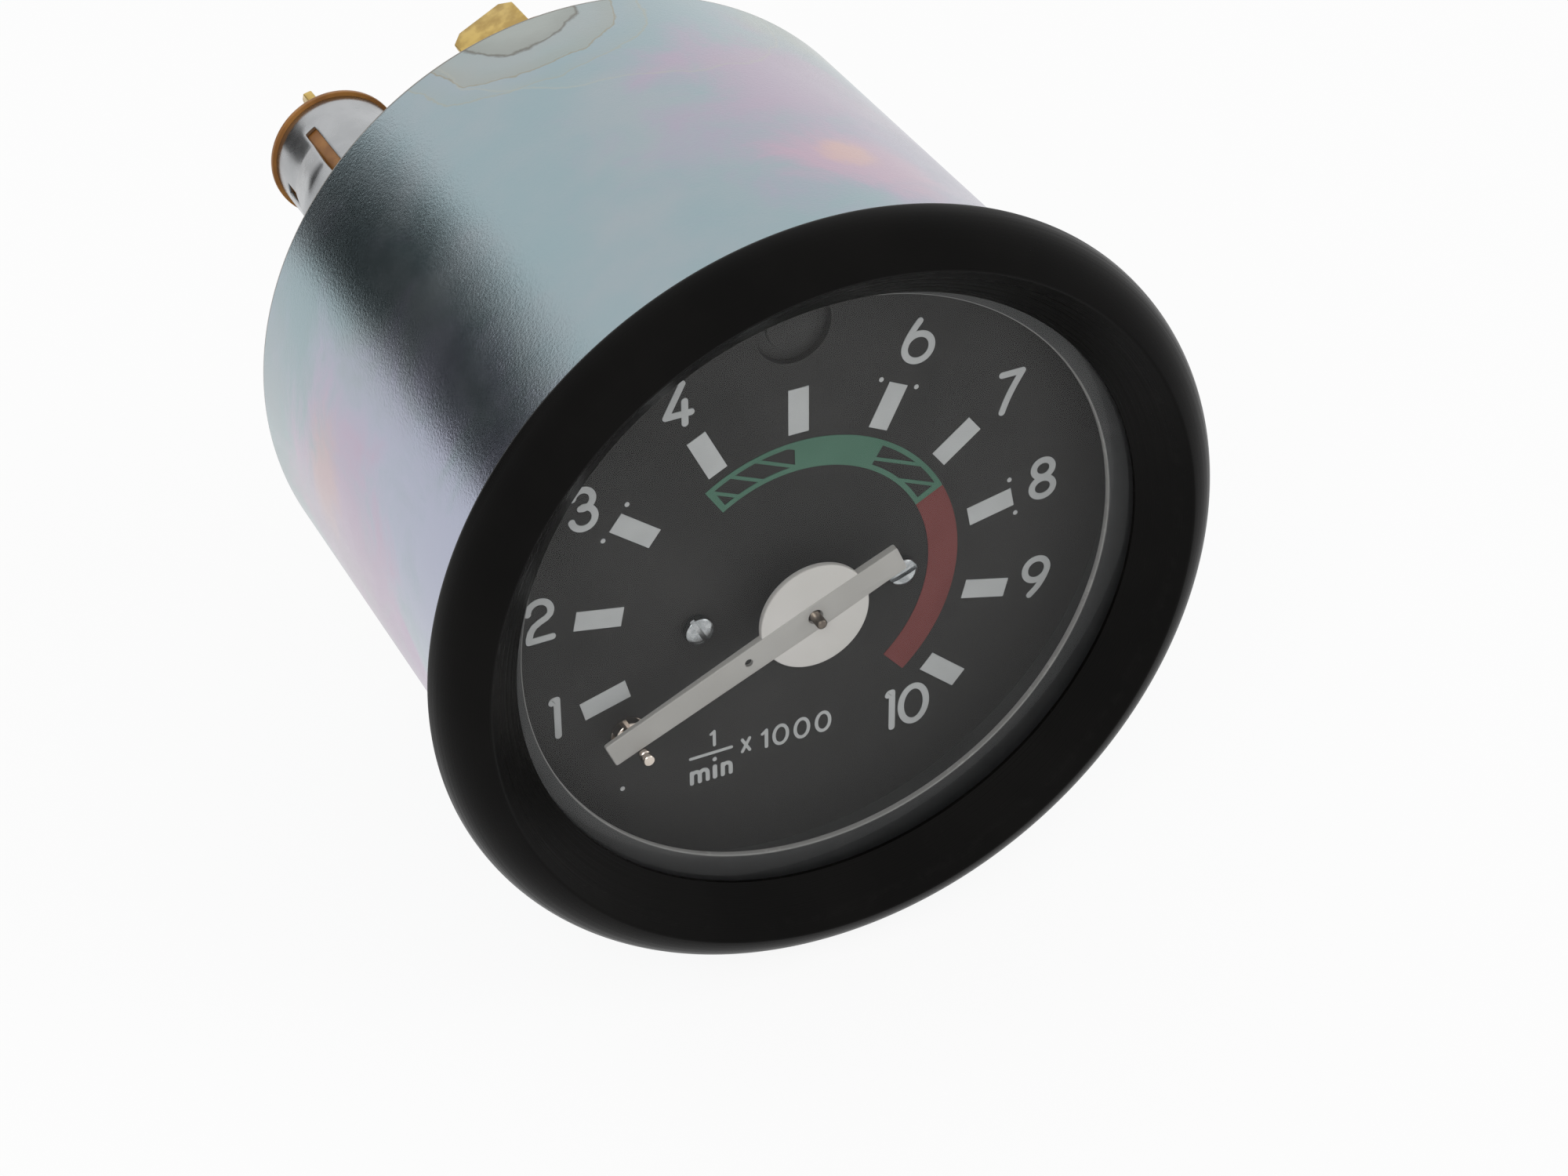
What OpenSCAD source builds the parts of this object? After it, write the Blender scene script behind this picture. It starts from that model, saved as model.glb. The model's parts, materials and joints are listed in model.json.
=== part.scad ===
// Motorcycle tachometer with an eddy-current movement in a round sheet-steel case.
// Every piece is drawn in the instrument's own frame, in millimetres:
// x to the right of the dial, y up, z out of the dial towards the rider,
// with x = y = 0 on the case axis and z = 0 on the rear face of the bezel.
// place() then turns it so that the dial faces -Y and the top of the dial is +Z.

/* [Case] */
// Outer diameter of the case tube
case_d = 60; // [58:0.5:63]
// Length of the case behind the rear face of the bezel
case_len = 45.7; // [44:0.1:60]
// Sheet thickness of the case
case_wall = 0.8; // [0.6:0.05:1]
// Width of the flange that the bezel grips
flange_w = 2.4; // [2:0.1:2.5]
// Width of the rim turned in at the rear edge
lip_w = 0.6; // [0.4:0.05:0.8]

/* [Bezel] */
// How far the bezel stands out beyond the case tube
bezel_overhang = 3.45; // [3.3:0.05:3.9]
// Sheet thickness of the bezel
bezel_sheet = 0.7; // [0.5:0.05:0.8]
// Radius of the bezel's outer roll
dome_r = 4.4; // [4:0.1:4.8]
// Radius of the bend at the bezel's rear edge
back_r = 0.6; // [0.4:0.05:0.8]
// Radius of the crest between the roll and the inner cone
crest_r = 0.35; // [0.2:0.05:0.6]
// Angle of the inner cone to the dial
cone_angle = 34.5; // [31:0.5:38]
// How far the window's edge lies inside the case tube
window_inset = 3.6; // [3.2:0.1:4.4]

/* [Glass and dial] */
// Thickness of the front glass
glass_t = 1.6; // [1.2:0.1:2]
// How far the glass lies below the case flange
glass_sink = 0.45; // [0.3:0.05:0.6]
// Radial gap between the glass and the case
glass_gap = 0.3; // [0.15:0.05:0.4]
// Thickness of the gasket under the window's edge
gasket_edge = 0.35; // [0.25:0.05:0.5]
// Thickness of the ring behind the glass
ring_t = 0.6; // [0.4:0.05:0.8]
// Width of the ring behind the glass
ring_w = 3.45; // [2.5:0.05:4]
// Length of the distance sleeve between ring and dial
distance_len = 4; // [3.8:0.1:5]
// Wall of the distance sleeve
distance_wall = 0.75; // [0.5:0.05:1]
// Thickness of the dial plate
dial_t = 0.8; // [0.6:0.05:1]
// Radial gap between the dial plate and the case
dial_gap = 0.25; // [0.1:0.05:0.3]
// Distance from the case axis down to the pointer's axis
axis_drop = 3.95; // [3.5:0.05:4.2]
// Thickness of the printed ink
ink_t = 0.05; // [0.03:0.01:0.1]

/* [Scale] */
// Inner radius of the scale bars
bar_r = 15.5; // [15:0.05:16]
// Length of a scale bar
bar_len = 4.05; // [3.6:0.05:4.2]
// Width of a scale bar
bar_w = 1.74; // [1.4:0.02:2]
// Number of scale bars
bar_count = 10; // [8:1:10]
// Angle from one scale bar to the next, in degrees
bar_pitch = 26.25; // [25:0.05:27]
// Radius of the small dots
dot_r = 0.2; // [0.15:0.05:0.3]
// Gap between the coloured band and the scale bars at the top
band_gap = 0.75; // [0.5:0.05:1.2]
// Width of the coloured band
band_w = 2.65; // [2:0.05:3]
// How far the band's centre lies above the pointer's axis
band_lift = 0.5; // [0:0.1:0.6]
// Width of the outline round the hatched fields
hatch_edge = 0.43; // [0.3:0.01:0.6]
// Width of a hatching bar
hatch_w = 0.3; // [0.2:0.01:0.5]
// Distance from one hatching bar to the next
hatch_pitch = 1.56; // [1.2:0.02:2]

/* [Pointer] */
// Length of the pointer from its axis to the tip
pointer_len = 19.5; // [19:0.1:20.5]
// Length of the pointer's tail
tail_len = 8.3; // [6.5:0.1:9]
// Width of the arm at the hub
arm_w = 2.6; // [2.4:0.05:3]
// Width of the arm at its tip
tip_w = 2.31; // [2:0.01:2.4]
// Width of the arm at the end of its tail
tail_w = 2.38; // [2:0.01:2.4]
// Sheet thickness of the pointer
pointer_t = 0.3; // [0.25:0.01:0.4]
// Height of the arm's side walls
arm_h = 0.7; // [0.6:0.05:1]
// Diameter of the round hub
hub_d = 9.5; // [8:0.1:10]
// Height of the hub's rim
hub_h = 0.55; // [0.4:0.05:0.7]
// Gap from the pointer's face to the glass
pointer_clear = 1.55; // [1.2:0.05:1.8]
// Angle of the pointer at rest, clockwise from the top
rest_angle = -113.4; // [-120:0.1:-100]
// Diameter of the pointer spindle
spindle_d = 1.3; // [1.2:0.02:1.5]
// Diameter of the spindle's turned ends
pivot_d = 0.9; // [0.7:0.02:1]
// Gap from the spindle's tip to the glass
tip_clear = 0.3; // [0.2:0.05:0.6]

/* [Zero stop] */
// Radius on which the stop pin stands
stop_r = 17.25; // [16.5:0.05:18]
// Diameter of the stop pin
stop_pin_d = 0.84; // [0.6:0.02:1]
// Gap from the stop pin's end to the glass
stop_clear = 0.4; // [0.3:0.05:1]
// Diameter of the slotted collar
stop_collar_d = 2.7; // [2.4:0.05:2.8]
// Height of the slotted collar
stop_collar_h = 0.7; // [0.5:0.05:1]

/* [Movement] */
// Gap between the dial plate and the bridge
bridge_drop = 4.55; // [3.5:0.05:5]
// Thickness of the bridge
bridge_t = 1.5; // [1.2:0.1:2]
// Diameter of the bridge's round plate
bridge_d = 23; // [22.5:0.1:25]
// Diameter of the bridge pillars
pillar_d = 3.2; // [3:0.1:3.4]
// Diameter of the posts that carry the dial
post_d = 3.2; // [2.8:0.1:3.4]
// Distance from the pointer's axis to each dial post
post_x = 9; // [8.5:0.05:9.5]
// Thickness of the movement body's base
base_t = 3.5; // [3:0.1:4.5]
// Diameter of the movement body's boss
boss_d = 13; // [11:0.1:14]
// Gap between the bridge and the drag cup
cup_drop = 7.9; // [7:0.1:9]
// Diameter of the magnet
magnet_d = 19.6; // [18:0.1:19.9]
// Length of the magnet
magnet_len = 7; // [5:0.1:7.5]
// Wall of the drag cup
cup_wall = 0.5; // [0.3:0.05:0.6]
// Air gap on each side of the drag cup
air_gap = 0.7; // [0.5:0.05:0.75]
// Wall of the keeper cup round the drag cup
keeper_wall = 1.5; // [1:0.1:1.6]
// Diameter of the drive shaft
shaft_d = 4; // [3.6:0.1:4.2]
// Side of the square socket for the flexible drive's core
socket_w = 2.7; // [2:0.05:2.7]
// Depth of the square socket
socket_depth = 8; // [5:0.5:12]
// Number of turns of the hairspring
spring_turns = 6; // [4:1:7]
// Distance from one turn of the hairspring to the next
spring_pitch = 0.95; // [0.8:0.05:1]
// Thickness of the hairspring strip
spring_t = 0.15; // [0.1:0.01:0.2]
// Width of the hairspring strip
spring_w = 0.8; // [0.5:0.05:1]

/* [Rear] */
// Thickness of the rear plate
plate_t = 1.5; // [1.2:0.1:2]
// Outer diameter of the threaded nose for the flexible drive
thread_d = 12; // [11:0.1:13]
// Length of the threaded nose
thread_len = 10; // [8:0.1:12]
// Diameter of the shoulder that passes through the rear plate
shoulder_d = 14.8; // [14:0.1:16]
// Diameter of the socket for the drive's ferrule
ferrule_d = 8; // [7.6:0.1:8.6]
// Depth of the socket for the drive's ferrule
ferrule_depth = 5; // [4:0.1:6]
// Diameter of the mounting studs
stud_d = 4; // [3:0.1:5]
// Distance of the mounting studs inside the case tube's radius
stud_inset = 7; // [6.5:0.1:7.5]
// Direction of the studs below the horizontal, seen from the case axis
stud_angle = 29.6; // [27:0.1:33]
// Length of the studs behind the rear plate
stud_out = 13; // [11:0.5:20]

/* [Lamp holders] */
// Outer diameter of a lamp holder's sleeve
lamp_d = 10.9; // [10.7:0.1:11.2]
// Sheet thickness of a lamp holder's sleeve
lamp_wall = 0.35; // [0.3:0.05:0.4]
// How far a sleeve stands out behind the rear plate
lamp_out = 12.8; // [12:0.1:15]
// How far a sleeve's end rim overlaps its tube
lamp_rim_w = 0.35; // [0.2:0.05:0.5]
// Thickness of a lamp holder's end disc
lamp_disc_t = 1.2; // [0.8:0.1:1.6]
// Number of sprung tongues round a sleeve
tongue_count = 3; // [2:1:4]
// Width of a sprung tongue, in degrees
tongue_angle = 49; // [40:1:55]
// Width of the slot on each side of a tongue, in degrees
slot_angle = 11; // [6:1:14]
// Height of the bulge on a sprung tongue
tongue_rise = 0.8; // [0.4:0.05:1]
// Width of a blade terminal
blade_w = 6.3; // [4.8:0.1:6.3]
// Thickness of a blade terminal
blade_t = 0.8; // [0.5:0.1:0.8]
// Length of a blade terminal behind its end disc
blade_out = 6; // [5:0.1:8]
// Diameter of a bulb's metal cap
cap_d = 9.2; // [9:0.05:9.3]
// Length of a bulb's metal cap
cap_len = 9; // [7:0.1:9.5]
// Diameter of a bulb's glass
bulb_d = 8.4; // [7:0.1:8.8]
// Length of a bulb's glass in front of its cap
bulb_len = 14; // [11:0.1:15]
// Gap between the dial lamp's sleeve and the case's rear rim
lamp_edge_gap = 0.25; // [0.15:0.05:0.6]
// Direction of the dial lamp from the case axis
dial_lamp_angle = 141; // [136:0.5:146]
// Distance of the indicator lamp's axis inside the case tube's radius
indicator_inset = 9.5; // [9.2:0.05:9.8]
// Direction of the indicator lamp from the case axis
indicator_angle = 92.5; // [89:0.5:95]
// Wall of the indicator's light tube
tube_wall = 0.6; // [0.4:0.05:0.7]
// Diameter of the indicator's window in the dial
window_hole_d = 6.4; // [5.6:0.1:6.6]
// Diameter of the raised middle of the indicator lens
lens_d = 4.2; // [3.6:0.1:4.6]

/* [Hidden] */
$fn = 96;

// Clearances: pressed and seated pieces, screws in their holes, running fits
press_gap = 0.01;
seat_gap = 0.05;
screw_gap = 0.1;
run_gap = 0.03;
// Room kept between neighbouring pieces that don't touch
part_gap = 0.3;
// Hairline between faces that would otherwise lie in one plane
hairline = 0.02;
// Overlap of a cutter beyond the face that it cuts
cut = 1;

// Radii of the case and what fits in it
case_r = case_d / 2;
case_in_r = case_r - case_wall;
lip_r = case_in_r - lip_w;
bezel_r = case_r + bezel_overhang;
window_r = case_r - window_inset;
glass_r = case_in_r - glass_gap;
dial_r = case_in_r - dial_gap;

// Stack from the bezel's rear face back to the dial, along z
flange_flare = 0.3;
flange_front = bezel_sheet + case_wall;
glass_front = flange_front - glass_sink;
glass_rear = glass_front - glass_t;
ring_rear = glass_rear - ring_t;
dial_front = ring_rear - distance_len;
dial_rear = dial_front - dial_t;
plate_rear = case_wall - case_len;
plate_front = plate_rear + plate_t;

// Bezel section: the roll's centre, and the line of the inner cone
dome_c = [bezel_r - dome_r, back_r];
cone_dir = [cos(cone_angle), sin(cone_angle)];
cone_n = [-sin(cone_angle), cos(cone_angle)];
window_front = glass_front + gasket_edge + bezel_sheet / cos(cone_angle);
window_edge = [window_r, window_front];
cone_normal_angle = 90 + cone_angle;
// Angle on an arc of radius r about the roll's centre where it is depth below the cone
function cone_meets(r, depth) =
    cone_normal_angle - acos((-depth - cone_n * (dome_c - window_edge)) / r);
bezel_under_r = dome_r - bezel_sheet;

// Movement, along z: bridge, cup and magnet follow the dial, and the body's boss fills the rest
bridge_front = dial_rear - bridge_drop;
bridge_rear = bridge_front - bridge_t;
base_front = plate_front + base_t;
boss_r = boss_d / 2;
keeper_floor_t = 1;
keeper_spigot_h = 0.9;
bush_flange_t = 0.4;
washer_t = 0.4;
collar_len = 1.1;
collar_wall = 1.9;
nose_len = 0.4;
cup_end_gap = 1;
cup_floor_front = bridge_rear - cup_drop;
cup_floor_rear = cup_floor_front - cup_wall;
magnet_front = cup_floor_rear - cup_end_gap;
nose_front = magnet_front + nose_len;
magnet_rear = magnet_front - magnet_len;
collar_rear = magnet_rear - collar_len;
washer_rear = collar_rear - seat_gap - washer_t;
bush_front = washer_rear - seat_gap;
spigot_front = bush_front - bush_flange_t;
boss_front = spigot_front - keeper_spigot_h;
cup_overlap = 0.2;
keeper_front = cup_floor_rear;
shoulder_out = 1.5;
nose_rear = plate_rear - shoulder_out - thread_len;
ferrule_end = nose_rear + ferrule_depth;

// Movement, radii about the pointer's axis
magnet_r = magnet_d / 2;
cup_in_r = magnet_r + air_gap;
cup_r = cup_in_r + cup_wall;
keeper_in_r = cup_r + air_gap;
keeper_r = keeper_in_r + keeper_wall;
pillar_gap = 0.4;
pillar_r = pillar_d / 2;
pillar_foot_r = pillar_r - 0.4;
pillar_foot_len = 2.5;
post_r = post_d / 2;
post_foot_r = post_r - 0.6;
pillar_circle_r = keeper_r + pillar_gap + pillar_r;
base_rim = 0.2;
base_r = pillar_circle_r + pillar_r + base_rim;
shaft_r = shaft_d / 2;
bush_wall = 1.2;
bush_r = shaft_r + run_gap + bush_wall;
spigot_wall = 1.2;
spigot_r = bush_r + spigot_wall;
bush_flange_w = 0.7;
bush_flange_r = bush_r + bush_flange_w;
bush_len = 6;
ferrule_r = ferrule_d / 2;
pillar_angles = [30, 150, 270];
screw_angles = [60, 180, 300];
screw_inset = 0.7;
screw_circle_r = keeper_r - screw_inset;

// Drive shaft: the clip behind the rear bush, and the jewel in its nose
shaft_end_gap = 0.2;
shaft_rear = ferrule_end + shaft_end_gap;
clip_t = 0.35;
groove_w = 0.4;
groove_depth = 0.42;
clip_inset = 0.7;
clip_front = shaft_rear + clip_inset;
rear_bush_rear = clip_front + seat_gap;
jewel_r = 1.4;
jewel_len = 2.2;
pivot_in = 2;

// Spindle and what it carries
spindle_r = spindle_d / 2;
pivot_r = pivot_d / 2;
pivot_rear = nose_front - pivot_in;
shank_gap = 0.2;
shank_rear = nose_front + shank_gap;
tip_z = glass_rear - tip_clear;
pointer_front = glass_rear - pointer_clear;
shank_sink = 0.5;
shank_front = pointer_front - shank_sink;
cup_hub_r = 1.6;
cup_hub_flange_r = 2.8;
cup_hub_flange_t = 0.6;
cup_hub_len = 2.2;
cup_hub_front = cup_floor_front + cup_hub_len;
bridge_bush_r = 1.6;
bridge_bush_flange_r = 2.4;
bridge_bush_flange_t = 0.5;
collet_r = 1.5;
collet_len = 1.6;
collet_gap = 0.15;
collet_front = bridge_rear - collet_gap;
collet_rear = collet_front - collet_len;

// Hairspring: it starts clear of the collet and ends in the slit of its stud
spring_gap = 0.3;
spring_in_r = collet_r + spring_gap;
spring_out_r = spring_in_r + spring_turns * spring_pitch;
spring_z = (collet_front + collet_rear) / 2;
spring_end_angle = 40;
spring_steps = 24;
spring_stud_r = 0.9;
spring_slit = 0.6;

// Pointer's rest against the stop pin
stop_pin_r = stop_pin_d / 2;
function arm_half(r) = (arm_w + (tip_w - arm_w) * r / pointer_len) / 2;
stop_contact = arm_half(stop_r) + stop_pin_r + run_gap;
stop_angle = rest_angle - asin(stop_contact / stop_r);
stop_rivet_r = 0.8;

// Screws: head diameter, head height, shank diameter
dial_screw = [2.5, 1, 1.6];
bridge_screw = [3.6, 1.3, 2];
movement_screw = [5.5, 2, 3];
dial_screw_bite = 2.8;
bridge_screw_bite = 3;
movement_screw_bite = 2.4;
hole_spare = 0.4;

// Mounting studs with their heads, washers and nuts
stud_circle_r = case_r - stud_inset;
stud_x = stud_circle_r * cos(stud_angle);
stud_drop = stud_circle_r * sin(stud_angle);
stud_head_w = 1.2;
stud_head_r = stud_d / 2 + stud_head_w;
stud_head_t = 1;
stud_neck_r = stud_d / 2 + 0.4;
stud_core_r = stud_d / 2 - 0.25;
stud_washer_w = 2.4;
stud_washer_t = 0.8;
stud_washer_r = stud_d / 2 + stud_washer_w;
stud_nut_t = 2.2;
stud_nut_w = stud_d * 1.75;

// Lamp holders, along z
lamp_r = lamp_d / 2;
lamp_in_r = lamp_r - lamp_wall;
lamp_in = 2.5;
lamp_front = plate_front + lamp_in;
lamp_rear = plate_rear - lamp_out;
slot_start = 2.9;
fold_start = 4.8;
tongue_back = 1;
tongue_ramp = 2.7;
slot_root = lamp_rear + slot_start;
tongue_fold = lamp_rear + fold_start;
tongue_end = plate_rear - tongue_back;
tongue_peak = tongue_end - tongue_ramp;
lamp_floor_t = 3;
lamp_floor_front = lamp_rear + lamp_floor_t;
contact_h = 0.9;
cap_pip_h = 0.8;
cap_r = cap_d / 2;
cap_rear = lamp_floor_front + contact_h + cap_pip_h;
cap_front = cap_rear + cap_len;
bulb_r = bulb_d / 2;
bulb_wall = 0.4;
blade_chamfer = 1;
dial_lamp_r = lip_r - lamp_edge_gap - lamp_r;
dial_lamp_pos = dial_lamp_r * [cos(dial_lamp_angle), sin(dial_lamp_angle)];
indicator_r = case_r - indicator_inset;
indicator_pos = indicator_r * [cos(indicator_angle), sin(indicator_angle)];
dial_slot_turn = 120;
indicator_slot_turn = 60;
dial_blade_turn = 120;
indicator_blade_turn = 27.9;
indicator_blade_shift = [-0.45, -0.5];

// Indicator: the window lies a little up and to the right of the lamp's axis
window_shift = [0.5, 0.7];
window_pos = indicator_pos + window_shift;
window_hole_r = window_hole_d / 2;
lens_base_sink = 0.5;
lens_flange = 0.7;
tube_in_r = lamp_r + part_gap;
tube_r = tube_in_r + tube_wall;
tube_neck_in_r = window_hole_r + lens_flange + norm(window_shift) + 2 * seat_gap;
tube_neck_r = tube_neck_in_r + tube_wall;
tube_step_h = 18;
tube_step = plate_front + tube_step_h;

// Coloured band: its inner radius, about its own centre
band_r = bar_r - band_gap - band_lift - band_w;

// Marks: angles clockwise from the top of the dial, about the band's own centre
green_from = -34.1;
solid_from = -1.4;
solid_to = 32;
green_to = 63.3;
red_to = 138.6;
hatch_angle = -23.5;
hatch_offset = 7.76;
pair_dot_r = 19.65;
pair_dot_angle = 5;
pair_bars = [3, 6, 8];
zero_dot_r = 20.95;
top_bar = 5;

// Points on an arc, anticlockwise from a0 to a1
function arc(c, r, a0, a1, n) =
    [for (i = [0:n]) c + r * [cos(a0 + (a1 - a0) * i / n), sin(a0 + (a1 - a0) * i / n)]];
// Direction at an angle clockwise from the top of the dial
function clock(a) = [sin(a), cos(a)];

module place() {
    rotate([90, 0, 0]) children();
}
module on_axis() {
    translate([0, -axis_drop, 0]) children();
}
module at_z(z) {
    translate([0, 0, z]) children();
}
// Disc or rod between two heights
module rod(r, z0, z1) {
    at_z(z0) cylinder(r = r, h = z1 - z0);
}
// Tube between two heights
module tube(r, r_in, z0, z1) {
    difference() {
        rod(r, z0, z1);
        rod(r_in, z0 - cut, z1 + cut);
    }
}
// Rod with a chamfered end at the z1 side, which may lie below z0
module chamfered_rod(r, z0, z1, c) {
    s = sign(z1 - z0);
    rotate_extrude() polygon([[0, z0], [r, z0], [r, z1 - s * c], [r - c, z1], [0, z1]]);
}
// Slotted cheese-head screw, its head standing on z = 0 and its shank below
module slotted_screw(size, shank) {
    head_r = size[0] / 2;
    edge = 0.15 * size[1];
    slot_w = 0.16 * size[0];
    slot_floor = 0.55 * size[1];
    difference() {
        union() {
            chamfered_rod(head_r, 0, size[1], edge);
            rod(size[2] / 2, -shank, 0);
        }
        translate([-head_r - cut, -slot_w / 2, slot_floor])
            cube([2 * head_r + 2 * cut, slot_w, size[1]]);
    }
}

module case_tube() {
    color([0.62, 0.64, 0.68]) place() rotate_extrude() polygon([
        [lip_r, -case_len], [case_r, -case_len], [case_r, 0],
        [case_r + flange_flare, bezel_sheet], [case_r + flange_w, bezel_sheet],
        [case_r + flange_w, flange_front],
        [case_in_r, flange_front], [case_in_r, plate_rear], [lip_r, plate_rear]
    ]);
}

module bezel() {
    crest_angle = cone_meets(dome_r - crest_r, crest_r);
    crest_c = dome_c + (dome_r - crest_r) * [cos(crest_angle), sin(crest_angle)];
    under_angle = cone_meets(bezel_under_r, bezel_sheet);
    floor_angle = asin((bezel_sheet - back_r) / bezel_under_r);
    section = concat(
        [[case_r + bezel_sheet / 2, 0]],
        arc([bezel_r - back_r, back_r], back_r, -90, 0, 6),
        arc(dome_c, dome_r, 4, crest_angle, 14),
        arc(crest_c, crest_r, crest_angle + 10, cone_normal_angle, 4),
        [window_edge, window_edge - [0, bezel_sheet / cos(cone_angle)]],
        arc(dome_c, bezel_under_r, under_angle, floor_angle, 12),
        [[case_r + bezel_sheet / 2, bezel_sheet]]
    );
    color([0.09, 0.09, 0.095]) place() rotate_extrude() polygon(section);
}

module bezel_gasket() {
    skin = bezel_sheet + seat_gap;
    r_out = case_r + flange_w - 0.4;
    r_in = window_r + 0.1;
    arc_r = dome_r - skin;
    start = acos((r_out - dome_c[0]) / arc_r);
    under = cone_meets(arc_r, skin);
    lip_z = window_front + (r_in - window_r) * tan(cone_angle) - skin / cos(cone_angle);
    section = concat(
        [[r_in, glass_front], [case_in_r - 0.1, glass_front],
         [case_in_r - 0.1, flange_front], [r_out, flange_front]],
        arc(dome_c, arc_r, start, under, 6),
        [[r_in, lip_z]]
    );
    color([0.05, 0.05, 0.05]) place() rotate_extrude() polygon(section);
}

module front_glass() {
    color([0.85, 0.92, 0.9, 0.3]) place() rod(glass_r, glass_rear, glass_front);
}

module glass_ring() {
    color([0.6, 0.61, 0.63]) place() tube(glass_r, glass_r - ring_w, ring_rear, glass_rear);
}

module distance_sleeve() {
    color([0.25, 0.25, 0.26]) place() tube(dial_r, dial_r - distance_wall, dial_front, ring_rear);
}

module dial_plate() {
    spindle_room = 1.2;
    color([0.24, 0.24, 0.24]) place() difference() {
        rod(dial_r, dial_rear, dial_front);
        translate(window_pos) rod(window_hole_r, dial_rear - cut, dial_front + cut);
        on_axis() {
            rod(spindle_r + spindle_room, dial_rear - cut, dial_front + cut);
            translate(stop_r * clock(stop_angle))
                rod(stop_rivet_r + press_gap, dial_rear - cut, dial_front + cut);
            for (x = [-post_x, post_x]) translate([x, 0, 0])
                rod(dial_screw[2] / 2 + screw_gap, dial_rear - cut, dial_front + cut);
        }
    }
}

module ink(colour) {
    color(colour) place() on_axis() at_z(dial_front) linear_extrude(ink_t) children();
}

module scale_marks() {
    ink([0.8, 0.8, 0.79]) {
        for (i = [1:bar_count]) rotate(-(i - top_bar) * bar_pitch)
            translate([-bar_w / 2, bar_r]) square([bar_w, bar_len]);
        for (i = pair_bars) for (side = [-1, 1])
            translate(pair_dot_r * clock((i - top_bar) * bar_pitch + side * pair_dot_angle))
                circle(r = dot_r);
        translate(zero_dot_r * clock(-top_bar * bar_pitch)) circle(r = dot_r);
    }
}

// Part of a ring between two clock angles, about the band's centre
module band(r0, r1, a0, a1) {
    reach = 2 * r1;
    intersection() {
        difference() {
            circle(r = r1);
            circle(r = r0);
        }
        polygon(concat([[0, 0]], [for (i = [0:4]) reach * clock(a0 + (a1 - a0) * i / 4)]));
    }
}

module hatch_bars() {
    for (i = [0:4]) rotate(hatch_angle)
        translate([-band_r - band_w, hatch_offset + i * hatch_pitch - hatch_w / 2])
            square([3 * (band_r + band_w), hatch_w]);
}

// Open fields of one hatched stretch; wall_a and wall_b are its end walls in degrees
module hatch_fields(a0, a1, wall_a, wall_b) {
    difference() {
        band(band_r + hatch_edge, band_r + band_w - hatch_edge, a0 + wall_a, a1 - wall_b);
        hatch_bars();
    }
}

module green_band() {
    end_wall = 2.4;
    ink([0.35, 0.58, 0.47]) translate([0, band_lift]) difference() {
        band(band_r, band_r + band_w, green_from, green_to);
        hatch_fields(green_from, solid_from, end_wall, 0);
        hatch_fields(solid_to, green_to, 0, end_wall);
    }
}

module red_band() {
    ink([0.55, 0.28, 0.27]) translate([0, band_lift]) band(band_r, band_r + band_w, green_to, red_to);
}

module dial_screws() {
    color([0.75, 0.76, 0.78]) place() on_axis() for (side = [-1, 1])
        translate([side * post_x, 0, dial_front]) rotate(side < 0 ? -62 : 20)
            slotted_screw(dial_screw, dial_t + dial_screw_bite);
}

module zero_stop() {
    collar_r = stop_collar_d / 2;
    wall_in_r = collar_r - 0.55;
    foot_front = dial_front + 0.25;
    collar_front = dial_front + stop_collar_h;
    pin_front = glass_rear - stop_clear;
    pin_edge = 0.12;
    rivet_rear = dial_rear - 0.5;
    rivet_r = stop_rivet_r + 0.4;
    slot_w = 0.5;
    slot_rear = (dial_front + foot_front) / 2;
    slot_from = stop_pin_r + 0.1;
    color([0.8, 0.74, 0.68]) place() on_axis() translate(stop_r * clock(stop_angle)) difference() {
        rotate_extrude() polygon([
            [0, rivet_rear], [rivet_r, rivet_rear], [rivet_r, dial_rear], [stop_rivet_r, dial_rear],
            [stop_rivet_r, dial_front], [collar_r, dial_front], [collar_r, collar_front],
            [wall_in_r, collar_front], [wall_in_r, foot_front], [stop_pin_r, foot_front],
            [stop_pin_r, pin_front - pin_edge], [stop_pin_r - pin_edge, pin_front], [0, pin_front]
        ]);
        for (a = [20:60:320]) rotate(a) translate([slot_from, -slot_w / 2, slot_rear])
            cube([collar_r, slot_w, stop_collar_h + cut]);
    }
}

module indicator_lens() {
    base_front_z = dial_front - lens_base_sink;
    color([0.16, 0.16, 0.17]) place() translate(window_pos) {
        rod(window_hole_r + lens_flange, dial_rear - lens_flange, dial_rear);
        rod(window_hole_r - seat_gap, dial_rear, base_front_z);
        rod(lens_d / 2, base_front_z, dial_front - seat_gap);
    }
}

module light_tube() {
    slope = 3;
    color([0.7, 0.7, 0.68]) place() translate(indicator_pos) rotate_extrude() polygon([
        [tube_in_r, plate_front], [tube_r, plate_front], [tube_r, tube_step],
        [tube_neck_r, tube_step + slope], [tube_neck_r, dial_rear - seat_gap],
        [tube_neck_in_r, dial_rear - seat_gap], [tube_neck_in_r, tube_step + slope],
        [tube_in_r, tube_step]
    ]);
}

// Outline of the arm, pointing up, drawn in from its edge by inset
module arm_outline(inset) {
    polygon([
        [-tail_w / 2 + inset, -tail_len + inset], [tail_w / 2 - inset, -tail_len + inset],
        [arm_w / 2 - inset, 0],
        [tip_w / 2 - inset, pointer_len - inset], [-tip_w / 2 + inset, pointer_len - inset],
        [-arm_w / 2 + inset, 0]
    ]);
}

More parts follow.
